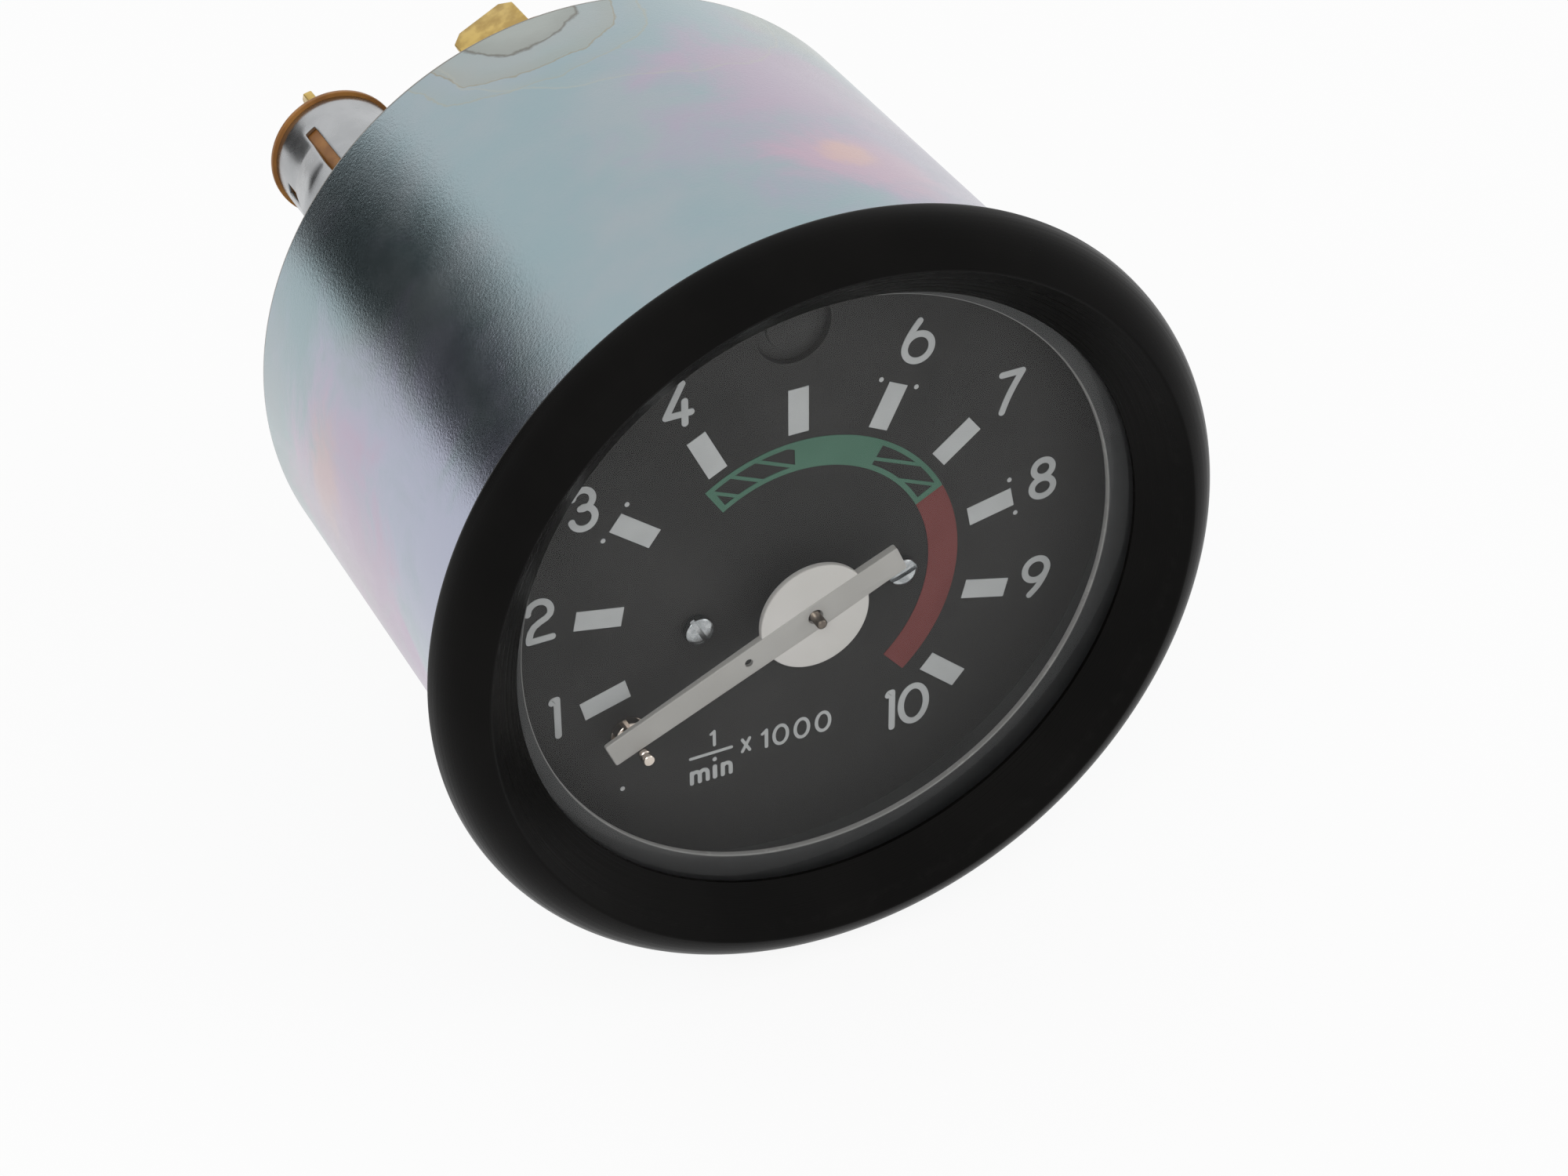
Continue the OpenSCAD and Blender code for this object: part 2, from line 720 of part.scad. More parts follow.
module pointer() {
    hub_r = hub_d / 2;
    boss_len = 1.5;
    boss_wall = 0.7;
    proud = 0.05;
    hub_front = pointer_front - proud;
    hole_r = 0.35;
    hole_at = 6.4;
    color([0.86, 0.84, 0.82]) place() on_axis() rotate(-rest_angle) difference() {
        union() {
            at_z(pointer_front - pointer_t) linear_extrude(pointer_t) arm_outline(0);
            at_z(pointer_front - arm_h) linear_extrude(arm_h) difference() {
                arm_outline(0);
                arm_outline(pointer_t);
            }
            rod(hub_r, hub_front - pointer_t, hub_front);
            tube(hub_r, hub_r - pointer_t, hub_front - hub_h, hub_front);
            rod(spindle_r + boss_wall, pointer_front - boss_len, hub_front);
        }
        rod(spindle_r + press_gap, pointer_front - boss_len - cut, pointer_front + cut);
        translate([0, hole_at, 0]) rod(hole_r, pointer_front - pointer_t - cut, pointer_front + cut);
    }
}

module pointer_spindle() {
    color([0.6, 0.58, 0.55]) place() on_axis() {
        rod(pivot_r, pivot_rear, shank_rear);
        rod(spindle_r, shank_rear, shank_front);
        chamfered_rod(pivot_r, shank_front, tip_z, 0.15);
    }
}

module hairspring_collet() {
    color([0.78, 0.62, 0.3]) place() on_axis()
        tube(collet_r, spindle_r + press_gap, collet_rear, collet_front);
}

module cup_hub() {
    rivet_h = 0.3;
    color([0.78, 0.62, 0.3]) place() on_axis() difference() {
        union() {
            rod(cup_hub_r, cup_floor_rear - rivet_h, cup_hub_front);
            rod(cup_hub_flange_r, cup_floor_front, cup_floor_front + cup_hub_flange_t);
        }
        rod(spindle_r + press_gap, cup_floor_rear - cut, cup_hub_front + cut);
    }
}

module drag_cup() {
    rim_z = magnet_rear - cup_overlap;
    color([0.82, 0.83, 0.84]) place() on_axis() rotate_extrude() polygon([
        [cup_hub_r + press_gap, cup_floor_rear], [cup_in_r - cup_wall, cup_floor_rear],
        [cup_in_r, cup_floor_rear - cup_wall], [cup_in_r, rim_z], [cup_r, rim_z],
        [cup_r, cup_floor_rear - cup_wall / 2], [cup_in_r - cup_wall / 2, cup_floor_front],
        [cup_hub_r + press_gap, cup_floor_front]
    ]);
}

// Flat spiral strip, wound anticlockwise outwards and ending at spring_end_angle
module hairspring() {
    last = spring_turns * spring_steps;
    overrun = 1;
    function at(i, side) =
        let (a = spring_end_angle + 360 * (i - last) / spring_steps,
             r = spring_in_r + spring_pitch * i / spring_steps + side * spring_t / 2)
        r * [cos(a), sin(a)];
    strip = concat(
        [for (i = [0:last + overrun]) at(i, 1)],
        [for (i = [last + overrun:-1:0]) at(i, -1)]
    );
    color([0.72, 0.5, 0.32]) place() on_axis()
        at_z(spring_z - spring_w / 2) linear_extrude(spring_w) polygon(strip);
}

module hairspring_stud() {
    stud_rear = collet_rear;
    color([0.78, 0.62, 0.3]) place() on_axis() rotate(spring_end_angle)
        translate([spring_out_r, 0, 0]) difference() {
            rod(spring_stud_r, stud_rear, bridge_rear);
            translate([-spring_slit / 2, -spring_stud_r - cut, stud_rear - cut])
                cube([spring_slit, 2 * spring_stud_r + 2 * cut, cut + collet_len]);
        }
}

module bridge() {
    arm_hw = pillar_r + 1;
    hole_circle = 7.2;
    hole_r = 2.2;
    color([0.74, 0.72, 0.66]) place() on_axis() difference() {
        at_z(bridge_rear) linear_extrude(bridge_t) {
            circle(r = bridge_d / 2);
            for (a = pillar_angles) rotate(a) {
                translate([0, -arm_hw]) square([pillar_circle_r, 2 * arm_hw]);
                translate([pillar_circle_r, 0]) circle(r = arm_hw);
            }
        }
        rod(bridge_bush_r + press_gap, bridge_rear - cut, bridge_front + cut);
        for (a = pillar_angles) rotate(a) translate([hole_circle, 0, 0])
            rod(hole_r, bridge_rear - cut, bridge_front + cut);
        for (a = pillar_angles) rotate(a) translate([pillar_circle_r, 0, 0])
            rod(bridge_screw[2] / 2 + screw_gap, bridge_rear - cut, bridge_front + cut);
        for (x = [-post_x, post_x]) translate([x, 0, 0])
            rod(post_foot_r + press_gap, bridge_rear - cut, bridge_front + cut);
    }
}

module bridge_bush() {
    color([0.78, 0.62, 0.3]) place() on_axis() difference() {
        union() {
            rod(bridge_bush_r, bridge_rear, bridge_front);
            rod(bridge_bush_flange_r, bridge_front, bridge_front + bridge_bush_flange_t);
        }
        rod(spindle_r + run_gap, bridge_rear - cut, bridge_front + cut);
    }
}

module dial_posts() {
    color([0.78, 0.62, 0.3]) place() on_axis() for (x = [-post_x, post_x]) translate([x, 0, 0])
        difference() {
            union() {
                rod(post_r, bridge_front, dial_rear);
                rod(post_foot_r, bridge_rear, bridge_front);
            }
            rod(dial_screw[2] / 2 + press_gap, dial_rear - dial_screw_bite - hole_spare, dial_rear + cut);
        }
}

module bridge_pillars() {
    hole_rear = bridge_rear - bridge_screw_bite - hole_spare;
    color([0.78, 0.62, 0.3]) place() on_axis() for (a = pillar_angles) rotate(a)
        translate([pillar_circle_r, 0, 0]) difference() {
            union() {
                rod(pillar_r, base_front, bridge_rear);
                rod(pillar_foot_r, base_front - pillar_foot_len, base_front);
            }
            rod(bridge_screw[2] / 2 + press_gap, hole_rear, bridge_rear + cut);
        }
}

module bridge_screws() {
    color([0.75, 0.76, 0.78]) place() on_axis() for (a = pillar_angles) rotate(a)
        translate([pillar_circle_r, 0, bridge_front]) rotate(35 + a)
            slotted_screw(bridge_screw, bridge_t + bridge_screw_bite);
}

// Room in the body's base for the light tube, the dial lamp and the heads of the studs
module base_cutouts() {
    translate([0, axis_drop, 0]) {
        translate(indicator_pos) rod(tube_r + part_gap, plate_front - cut, base_front + cut);
        translate(dial_lamp_pos) rod(lamp_r + lamp_rim_w + part_gap, plate_front - cut, base_front + cut);
        at_studs() rod(stud_head_r + part_gap, plate_front - cut, base_front + cut);
    }
}

module movement_body() {
    rib_t = 1.6;
    rib_reach = pillar_circle_r - pillar_r - 0.6;
    shoulder_rear = plate_rear - shoulder_out;
    thread_lead = 0.6;
    root = 0.5;
    rib_end_h = 0.8;
    color([0.66, 0.67, 0.66]) place() on_axis() difference() {
        union() {
            difference() {
                rod(base_r, plate_front, base_front);
                base_cutouts();
            }
            rod(boss_r, base_front, boss_front);
            rod(spigot_r, boss_front, spigot_front);
            rod(shoulder_d / 2, shoulder_rear, plate_front);
            chamfered_rod(thread_d / 2, shoulder_rear, nose_rear, thread_lead);
            for (a = [0:60:300]) rotate(a) rotate([90, 0, 0]) at_z(-rib_t / 2)
                linear_extrude(rib_t) polygon([
                    [boss_r - root, base_front - root], [rib_reach, base_front - root],
                    [rib_reach, base_front + rib_end_h], [boss_r - root, boss_front - rib_end_h]
                ]);
        }
        rod(bush_r + press_gap, ferrule_end - cut, spigot_front + cut);
        rod(ferrule_r, nose_rear - cut, ferrule_end);
        for (a = pillar_angles) rotate(a) translate([pillar_circle_r, 0, 0])
            rod(pillar_foot_r + press_gap, base_front - pillar_foot_len - press_gap,
                base_front + cut);
        for (a = screw_angles) rotate(a) translate([screw_circle_r, 0, 0])
            rod(movement_screw[2] / 2 + press_gap, plate_front - cut,
                plate_front + movement_screw_bite + hole_spare);
    }
}

module keeper_cup() {
    hole_r = spigot_r + press_gap;
    edge = 0.8;
    color([0.5, 0.5, 0.5]) place() on_axis() rotate_extrude() polygon([
        [hole_r, boss_front], [keeper_r - edge, boss_front], [keeper_r, boss_front + edge],
        [keeper_r, keeper_front], [keeper_in_r, keeper_front],
        [keeper_in_r, boss_front + keeper_floor_t], [hole_r, boss_front + keeper_floor_t]
    ]);
}

module magnet() {
    edge = 0.5;
    color([0.28, 0.28, 0.3]) place() on_axis() rotate_extrude() polygon([
        [shaft_r + press_gap, magnet_rear], [magnet_r - edge, magnet_rear],
        [magnet_r, magnet_rear + edge], [magnet_r, magnet_front - edge],
        [magnet_r - edge, magnet_front], [shaft_r + press_gap, magnet_front]
    ]);
}

module magnet_collar() {
    color([0.78, 0.62, 0.3]) place() on_axis()
        tube(shaft_r + collar_wall, shaft_r + press_gap, collar_rear, magnet_rear);
}

module drive_shaft() {
    groove_r = shaft_r - groove_depth;
    socket = [socket_w, socket_w, socket_depth + cut];
    color([0.68, 0.68, 0.7]) place() on_axis() difference() {
        union() {
            rod(shaft_r, shaft_rear, clip_front - groove_w);
            rod(groove_r, clip_front - groove_w, clip_front);
            rod(shaft_r, clip_front, nose_front);
        }
        translate([-socket_w / 2, -socket_w / 2, shaft_rear - cut]) cube(socket);
        rod(jewel_r + press_gap, nose_front - jewel_len, nose_front + cut);
        rod(pivot_r + run_gap, nose_front - jewel_len - 0.3, nose_front);
    }
}

module shaft_jewel() {
    color([0.7, 0.25, 0.3]) place() on_axis()
        tube(jewel_r, pivot_r + run_gap, nose_front - jewel_len, nose_front);
}

module shaft_bushes() {
    bore_r = shaft_r + run_gap;
    color([0.72, 0.5, 0.25]) place() on_axis() {
        tube(bush_r, bore_r, rear_bush_rear, rear_bush_rear + bush_len);
        tube(bush_r, bore_r, bush_front - bush_len, bush_front);
        tube(bush_flange_r, bore_r, spigot_front, bush_front);
    }
}

module thrust_washer() {
    color([0.6, 0.6, 0.62]) place() on_axis()
        tube(bush_flange_r - 0.3, shaft_r + seat_gap, washer_rear, washer_rear + washer_t);
}

module retaining_clip() {
    clip_r = bush_r - 0.25;
    mouth = 2;
    color([0.4, 0.4, 0.42]) place() on_axis() difference() {
        tube(clip_r, shaft_r - groove_depth + press_gap, clip_front - clip_t, clip_front);
        translate([-mouth / 2, 0, clip_front - clip_t - cut])
            cube([mouth, clip_r + cut, clip_t + 2 * cut]);
    }
}

module rear_plate() {
    color([0.6, 0.62, 0.64]) place() difference() {
        rod(case_in_r - 0.1, plate_rear, plate_front);
        for (p = [dial_lamp_pos, indicator_pos]) translate(p)
            rod(lamp_r + 0.15, plate_rear - cut, plate_front + cut);
        on_axis() {
            rod(shoulder_d / 2 + seat_gap, plate_rear - cut, plate_front + cut);
            for (a = screw_angles) rotate(a) translate([screw_circle_r, 0, 0])
                rod(movement_screw[2] / 2 + screw_gap, plate_rear - cut, plate_front + cut);
        }
        at_studs() rod(stud_neck_r + press_gap, plate_rear - cut, plate_front + cut);
    }
}

module movement_screws() {
    color([0.75, 0.76, 0.78]) place() on_axis() for (a = screw_angles) rotate(a)
        translate([screw_circle_r, 0, plate_rear]) rotate([180, 0, 0]) rotate(a)
            slotted_screw(movement_screw, plate_t + movement_screw_bite);
}

module at_studs() {
    for (side = [-1, 1]) translate([side * stud_x, -stud_drop, 0]) children();
}

// Press-in stud: neck in the plate, thread at its core size as far as the nut holds it
module rear_studs() {
    nut_rear = plate_rear - stud_washer_t - stud_nut_t;
    color([0.75, 0.76, 0.78]) place() at_studs() {
        rod(stud_head_r, plate_front, plate_front + stud_head_t);
        rod(stud_neck_r, plate_rear, plate_front);
        rod(stud_core_r, nut_rear - seat_gap, plate_rear);
        chamfered_rod(stud_d / 2, nut_rear - seat_gap, plate_rear - stud_out, 0.5);
    }
}

module stud_washers() {
    color([0.7, 0.7, 0.7]) place() at_studs()
        tube(stud_washer_r, stud_d / 2 + screw_gap, plate_rear - stud_washer_t, plate_rear);
}

module stud_nuts() {
    nut_front = plate_rear - stud_washer_t;
    color([0.75, 0.76, 0.78]) place() at_studs() difference() {
        at_z(nut_front - stud_nut_t)
            cylinder(r = stud_nut_w / sqrt(3), h = stud_nut_t, $fn = 6);
        rod(stud_core_r + press_gap, nut_front - stud_nut_t - cut, nut_front + cut);
    }
}

// Lamp holder pieces, each about its own axis
// Sprung tongue; its root is tucked into the wall of the sleeve behind it
module tongue() {
    tuck = lamp_wall / 4;
    root = slot_root - 2 * lamp_wall;
    step = slot_root + hairline;
    outer = [[lamp_r - tuck, root], [lamp_r - tuck, step], [lamp_r, step],
             [lamp_r, tongue_fold], [lamp_r + tongue_rise, tongue_peak],
             [lamp_r, tongue_end], [lamp_r, lamp_front]];
    inner = [
        for (i = [6:-1:2]) outer[i] - [lamp_wall, 0],
        [lamp_in_r + tuck, step], [lamp_in_r + tuck, root]
    ];
    rotate_extrude(angle = tongue_angle) polygon(concat(outer, inner));
}

// Wedge that opens the sleeve for a tongue and the slots beside it
module tongue_window() {
    reach = 2 * lamp_r;
    window_angle = tongue_angle + 2 * slot_angle;
    at_z(slot_root) linear_extrude(lamp_front - slot_root + cut) polygon(concat(
        [[0, 0]],
        [for (i = [0:3]) reach * [cos(window_angle * i / 3), sin(window_angle * i / 3)]]
    ));
}

module lamp_sleeve(turn) {
    difference() {
        tube(lamp_r, lamp_in_r, lamp_rear, lamp_front);
        for (i = [0:tongue_count - 1]) rotate(turn + i * 360 / tongue_count) tongue_window();
    }
    for (i = [0:tongue_count - 1])
        rotate(turn + slot_angle + i * 360 / tongue_count) tongue();
}

module lamp_insulator() {
    tube_len = 8;
    difference() {
        union() {
            rod(lamp_r + lamp_rim_w, lamp_rear - lamp_disc_t, lamp_rear);
            rod(lamp_in_r - seat_gap, lamp_rear, lamp_floor_front + tube_len);
        }
        rod(cap_r + seat_gap, lamp_floor_front, lamp_floor_front + tube_len + cut);
        children();
    }
}

module lamp_blade(grow = 0) {
    tip = lamp_rear - lamp_disc_t - blade_out;
    half = blade_w / 2 + grow;
    rotate([90, 0, 0]) at_z(-blade_t / 2 - grow) linear_extrude(blade_t + 2 * grow) polygon([
        [-half, lamp_floor_front + grow], [half, lamp_floor_front + grow],
        [half, tip + blade_chamfer], [half - blade_chamfer, tip],
        [-half + blade_chamfer, tip], [-half, tip + blade_chamfer]
    ]);
}

// Dished spring washer between the blade and the bulb
module lamp_contact() {
    t = 0.3;
    hole_r = 0.8;
    rim_r = 3;
    rotate_extrude() polygon([
        [hole_r, lamp_floor_front + contact_h], [rim_r, lamp_floor_front + t],
        [rim_r, lamp_floor_front], [rim_r - t, lamp_floor_front],
        [hole_r, lamp_floor_front + contact_h - t]
    ]);
}

module bulb_cap() {
    cap_wall = 0.35;
    cap_floor = 1;
    edge = 0.7;
    pip_r = 1.5;
    rod(pip_r, cap_rear - cap_pip_h, cap_rear);
    difference() {
        chamfered_rod(cap_r, cap_front, cap_rear, edge);
        rod(cap_r - cap_wall, cap_rear + cap_floor, cap_front + cut);
    }
}

module bulb_glass() {
    neck = 4;
    dome_z = cap_front + bulb_len - bulb_r;
    inner_r = bulb_r - bulb_wall;
    rotate_extrude() polygon(concat(
        [[inner_r, cap_front - neck], [bulb_r, cap_front - neck]],
        arc([0, dome_z], bulb_r, 0, 90, 8),
        arc([0, dome_z], inner_r, 90, 0, 8)
    ));
}

module at_dial_lamp() {
    place() translate(dial_lamp_pos) children();
}
module at_indicator_lamp() {
    place() translate(indicator_pos) children();
}
module dial_blade_place() {
    rotate(dial_blade_turn) children();
}
module indicator_blade_place() {
    translate(indicator_blade_shift) rotate(indicator_blade_turn) children();
}

module dial_lamp_sleeve() {
    color([0.7, 0.71, 0.72]) at_dial_lamp() lamp_sleeve(dial_slot_turn);
}
module dial_lamp_insulator() {
    color([0.55, 0.3, 0.15]) at_dial_lamp() lamp_insulator()
        dial_blade_place() lamp_blade(seat_gap);
}
module dial_lamp_blade() {
    color([0.78, 0.66, 0.4]) at_dial_lamp() dial_blade_place() lamp_blade();
}
module dial_lamp_contact() {
    color([0.78, 0.66, 0.4]) at_dial_lamp() lamp_contact();
}
module dial_bulb_cap() {
    color([0.78, 0.72, 0.55]) at_dial_lamp() bulb_cap();
}
module dial_bulb_glass() {
    color([0.85, 0.92, 0.9, 0.4]) at_dial_lamp() bulb_glass();
}
module indicator_lamp_sleeve() {
    color([0.7, 0.71, 0.72]) at_indicator_lamp() lamp_sleeve(indicator_slot_turn);
}
module indicator_lamp_insulator() {
    color([0.55, 0.3, 0.15]) at_indicator_lamp() lamp_insulator()
        indicator_blade_place() lamp_blade(seat_gap);
}
module indicator_lamp_blade() {
    color([0.78, 0.66, 0.4]) at_indicator_lamp() indicator_blade_place() lamp_blade();
}
module indicator_lamp_contact() {
    color([0.78, 0.66, 0.4]) at_indicator_lamp() lamp_contact();
}
module indicator_bulb_cap() {
    color([0.78, 0.72, 0.55]) at_indicator_lamp() bulb_cap();
}
module indicator_bulb_glass() {
    color([0.85, 0.92, 0.9, 0.4]) at_indicator_lamp() bulb_glass();
}

case_tube();
bezel();
bezel_gasket();
front_glass();
glass_ring();
distance_sleeve();
dial_plate();
scale_marks();
green_band();
red_band();
dial_screws();
zero_stop();
indicator_lens();
light_tube();
pointer();
pointer_spindle();
hairspring_collet();
cup_hub();
drag_cup();
hairspring();
hairspring_stud();
bridge();
bridge_bush();
dial_posts();
bridge_pillars();
bridge_screws();
movement_body();
keeper_cup();
magnet();
magnet_collar();
drive_shaft();
shaft_jewel();
shaft_bushes();
thrust_washer();
retaining_clip();
rear_plate();
movement_screws();
rear_studs();
stud_washers();
stud_nuts();
dial_lamp_sleeve();
dial_lamp_insulator();
dial_lamp_blade();
dial_lamp_contact();
dial_bulb_cap();
dial_bulb_glass();
indicator_lamp_sleeve();
indicator_lamp_insulator();
indicator_lamp_blade();
indicator_lamp_contact();
indicator_bulb_cap();
indicator_bulb_glass();
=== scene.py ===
# %% [markdown]
# # A motorcycle's rev counter
# This lesson dresses a measured model of a 60 mm rev counter. The real instrument is a drawn
# and zinc-plated steel can with a black bezel rolled over its front flange, a glass, a printed
# dial with a white pointer, and a rear plate with the drive's threaded nose and two lamp holders.
# The measured model comes in as a fixed frame in metres. Its bodies carry our pieces, so the
# pointer and the drive spindle can turn later without any change to this script.

# %% Load the frame
import json
import math
import bpy
import bmesh
import numpy as np
from mathutils import Matrix, Vector


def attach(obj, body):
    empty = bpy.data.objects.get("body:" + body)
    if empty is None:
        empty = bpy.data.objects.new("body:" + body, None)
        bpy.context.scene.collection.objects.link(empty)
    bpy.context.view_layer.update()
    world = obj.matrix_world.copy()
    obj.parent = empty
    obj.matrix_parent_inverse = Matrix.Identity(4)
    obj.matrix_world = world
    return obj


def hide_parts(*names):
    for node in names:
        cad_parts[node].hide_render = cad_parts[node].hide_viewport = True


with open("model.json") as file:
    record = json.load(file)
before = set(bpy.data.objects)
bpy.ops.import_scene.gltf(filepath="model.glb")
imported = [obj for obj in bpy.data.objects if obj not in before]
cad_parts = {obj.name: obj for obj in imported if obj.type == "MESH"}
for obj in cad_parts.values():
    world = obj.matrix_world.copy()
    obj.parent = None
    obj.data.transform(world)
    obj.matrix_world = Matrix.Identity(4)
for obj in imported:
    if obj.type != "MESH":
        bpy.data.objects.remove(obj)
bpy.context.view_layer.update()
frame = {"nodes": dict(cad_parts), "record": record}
NODES = frame["nodes"]

# %% [markdown]
# ## The drawing's own directions
# A drawing of an instrument is read from the front: x to the right of the dial, y up, z out of
# the glass, in millimetres, with z = 0 on the rear face of the bezel. The frame has the case
# lying along Y instead. One small function turns drawing points into frame points, so every
# piece below is written as it would be dimensioned on paper.

# %% Drawing millimetres to frame metres
MM = 0.001


def placed(points):
    """Drawing points (right, up, out of the dial; mm) as frame points in metres."""
    p = np.asarray(points, float).reshape(-1, 3)
    return np.c_[p[:, 0], -p[:, 2], p[:, 1]] * MM


def linked(name, data):
    """A new object with this data, in the scene."""
    obj = bpy.data.objects.new(name, data)
    bpy.context.scene.collection.objects.link(obj)
    return obj


POINTER_AXIS = (0.0, -3.95)
DIAL_LAMP = (-17.797, 14.411)
INDICATOR_LAMP = (-0.894, 20.481)
STUDS = [(-19.998, -11.361), (19.998, -11.361)]
print("case axis at the origin, pointer axis", POINTER_AXIS)

# %% [markdown]
# ## The camera
# The photograph looks down at the dial from the rider's upper left, through a long lens. The
# place and the turn below were solved from measured points of the case and the dial. A camera
# looks along its own -Z with +Y up, so the three directions become the matrix's columns.

# %% Camera
CAMERA_PLACE = Vector((-0.10145, -0.19942, 0.16057))
CAMERA_RIGHT = Vector((0.89693, -0.44215, -0.00371)).normalized()
CAMERA_AHEAD = Vector((0.35743, 0.72996, -0.58259)).normalized()
CAMERA_UP = CAMERA_RIGHT.cross(CAMERA_AHEAD).normalized()
LENS_LENGTH, FILM_WIDTH = 81.5, 36.0

camera_data = bpy.data.cameras.new("photo_camera")
camera_data.lens, camera_data.sensor_width = LENS_LENGTH, FILM_WIDTH
camera_data.clip_start = 0.01
camera = linked("photo_camera", camera_data)
turn = Matrix((CAMERA_RIGHT, CAMERA_UP, -CAMERA_AHEAD)).transposed().to_4x4()
camera.matrix_world = Matrix.Translation(CAMERA_PLACE) @ turn
bpy.context.scene.camera = camera
print("camera up", [round(c, 3) for c in CAMERA_UP])

# %% [markdown]
# ## Turned and drawn pieces
# Nearly everything here was made on a lathe or drawn in a round die, so the main tool revolves
# a closed outline of (radius, z) points. A sheet's edge or a turned shoulder is never razor
# sharp: `eased` first replaces each corner by a small arc, which is what catches the light.

# %% Easing an outline's corners
def eased(outline, radius, steps=4, keep=()):
    """A closed outline with each corner rounded by up to radius; corners in keep stay sharp."""
    pts = [np.array(p, float) for p in outline]
    made = []
    for i, corner in enumerate(pts):
        before, after = pts[i - 1] - corner, pts[(i + 1) % len(pts)] - corner
        a, b = np.linalg.norm(before), np.linalg.norm(after)
        reach = min(radius, 0.45 * a, 0.45 * b)
        if i in keep or abs(corner[0]) < 1e-6 or reach < 1e-3:
            made.append(corner)
            continue
        start, end = corner + before / a * reach, corner + after / b * reach
        for t in np.linspace(0, 1, steps + 1):
            made.append((1 - t) ** 2 * start + 2 * t * (1 - t) * corner + t * t * end)
    return [tuple(p) for p in made]


def arc(centre, radius, first, last, steps):
    """Points on an arc between two angles in degrees, anticlockwise from the right."""
    turns = np.radians(np.linspace(first, last, steps + 1))
    return [(centre[0] + radius * math.cos(t), centre[1] + radius * math.sin(t)) for t in turns]


print("a square eased by 1:", len(eased([(1, 0), (5, 0), (5, 4), (1, 4)], 1)), "points")

# %% [markdown]
# Every new piece ends the same way. Its doubles are merged and its normals recalculated, soft
# curves are shaded smooth and real edges kept sharp, it gets its finish and rides on a body.
# Where it stands for a node, that node is hidden.

# %% Finishing a piece
FINISHES = {}


def settle(obj, finish, body="instrument", slot=None, stands_for=(), sharp=32):
    """The last steps of every piece: smooth shading, finish, body and replaced nodes; slot is not
    used.
    """
    mesh = obj.data
    bm = bmesh.new()
    bm.from_mesh(mesh)
    bmesh.ops.remove_doubles(bm, verts=bm.verts, dist=2e-7)
    bmesh.ops.dissolve_degenerate(bm, edges=bm.edges, dist=1e-8)
    bmesh.ops.recalc_face_normals(bm, faces=bm.faces)
    bm.to_mesh(mesh)
    bm.free()
    mesh.shade_smooth()
    mesh.set_sharp_from_angle(angle=math.radians(sharp))
    mesh.materials.clear()
    mesh.materials.append(FINISHES[finish])
    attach(obj, body)
    if stands_for:
        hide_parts(*stands_for)
    return obj


def piece(name, points, faces):
    """A new mesh object from drawing points and faces."""
    mesh = bpy.data.meshes.new(name)
    mesh.from_pydata(placed(points).tolist(), [], faces)
    return linked(name, mesh)


# %% Revolving an outline
def revolved(outline, centre=(0, 0), steps=192, first=0.0, sweep=360.0):
    """Points and faces of a closed (radius, z) outline turned about an axis along z."""
    full = sweep >= 360
    rings = steps if full else steps + 1
    turns = np.radians(first + np.arange(rings) * sweep / steps)
    r = np.array([p[0] for p in outline])
    z = np.array([p[1] for p in outline])
    n = len(outline)
    x = centre[0] + np.outer(np.cos(turns), r)
    y = centre[1] + np.outer(np.sin(turns), r)
    points = np.stack([x, y, np.tile(z, (rings, 1))], axis=2).reshape(-1, 3)
    off_axis = [j for j in range(n) if max(abs(r[j]), abs(r[(j + 1) % n])) > 1e-6]
    faces = []
    for i in range(rings if full else rings - 1):
        a, b = i * n, ((i + 1) % rings) * n
        faces += [(a + j, b + j, b + (j + 1) % n, a + (j + 1) % n) for j in off_axis]
    if not full:
        faces += [tuple(range(n)), tuple(range((rings - 1) * n, rings * n))]
    return points.tolist(), faces


def ring_section(inner, outer, low, high):
    """The four corners of a plain ring's section."""
    return [(inner, low), (outer, low), (outer, high), (inner, high)]


def joined(*parts):
    """Several (points, faces) pairs as one."""
    points, faces = [], []
    for p, f in parts:
        faces += [tuple(i + len(points) for i in face) for face in f]
        points += list(p)
    return points, faces


def turned(name, outline, finish, centre=(0, 0), steps=192, **how):
    """A full turned piece, placed and finished."""
    return settle(piece(name, *revolved(outline, centre, steps)), finish, **how)


print("a ring of 48 steps has", len(revolved([(1, 0), (2, 0), (2, 1)], steps=48)[1]), "faces")

# %% [markdown]
# ## Finishes
# A finish is a small tree of shader nodes. Small helpers keep the trees readable: `add` makes a
# node and fills its inputs with values or with other nodes' sockets, and `blend` mixes two
# colours. Effects that several finishes share are node groups, built once, with named inputs:
# drifting tones, fine grain, tool rings round an axis, rub marks, and a turned-edge mask that
# is wear on the bezel and a painted highlight on the ring behind the glass.
# They all read Object coordinates, so a pattern stays on its piece when that piece moves.

# %% Node helpers
def fill(tree, made, inputs):
    """Give a node's inputs their values, or links from other nodes' sockets."""
    for key, value in inputs.items():
        if isinstance(value, bpy.types.NodeSocket):
            tree.links.new(value, made.inputs[key])
        else:
            made.inputs[key].default_value = value
    return made


def add(tree, kind, inputs=None, family="Shader", **settings):
    """A node with settings, and with inputs that are values or sockets."""
    made = tree.nodes.new(family + "Node" + kind)
    for key, value in settings.items():
        setattr(made, key, value)
    return fill(tree, made, inputs or {})


def blend(tree, share, first, second):
    """Colour first, with share of colour second mixed over it."""
    return add(tree, "Mix", {0: share, 6: first, 7: second}, data_type="RGBA").outputs[2]


def maths(tree, operation, a, b=0.0, clamp=False):
    """One step of arithmetic on sockets or numbers."""
    return add(tree, "Math", {0: a, 1: b}, operation=operation, use_clamp=clamp).outputs[0]


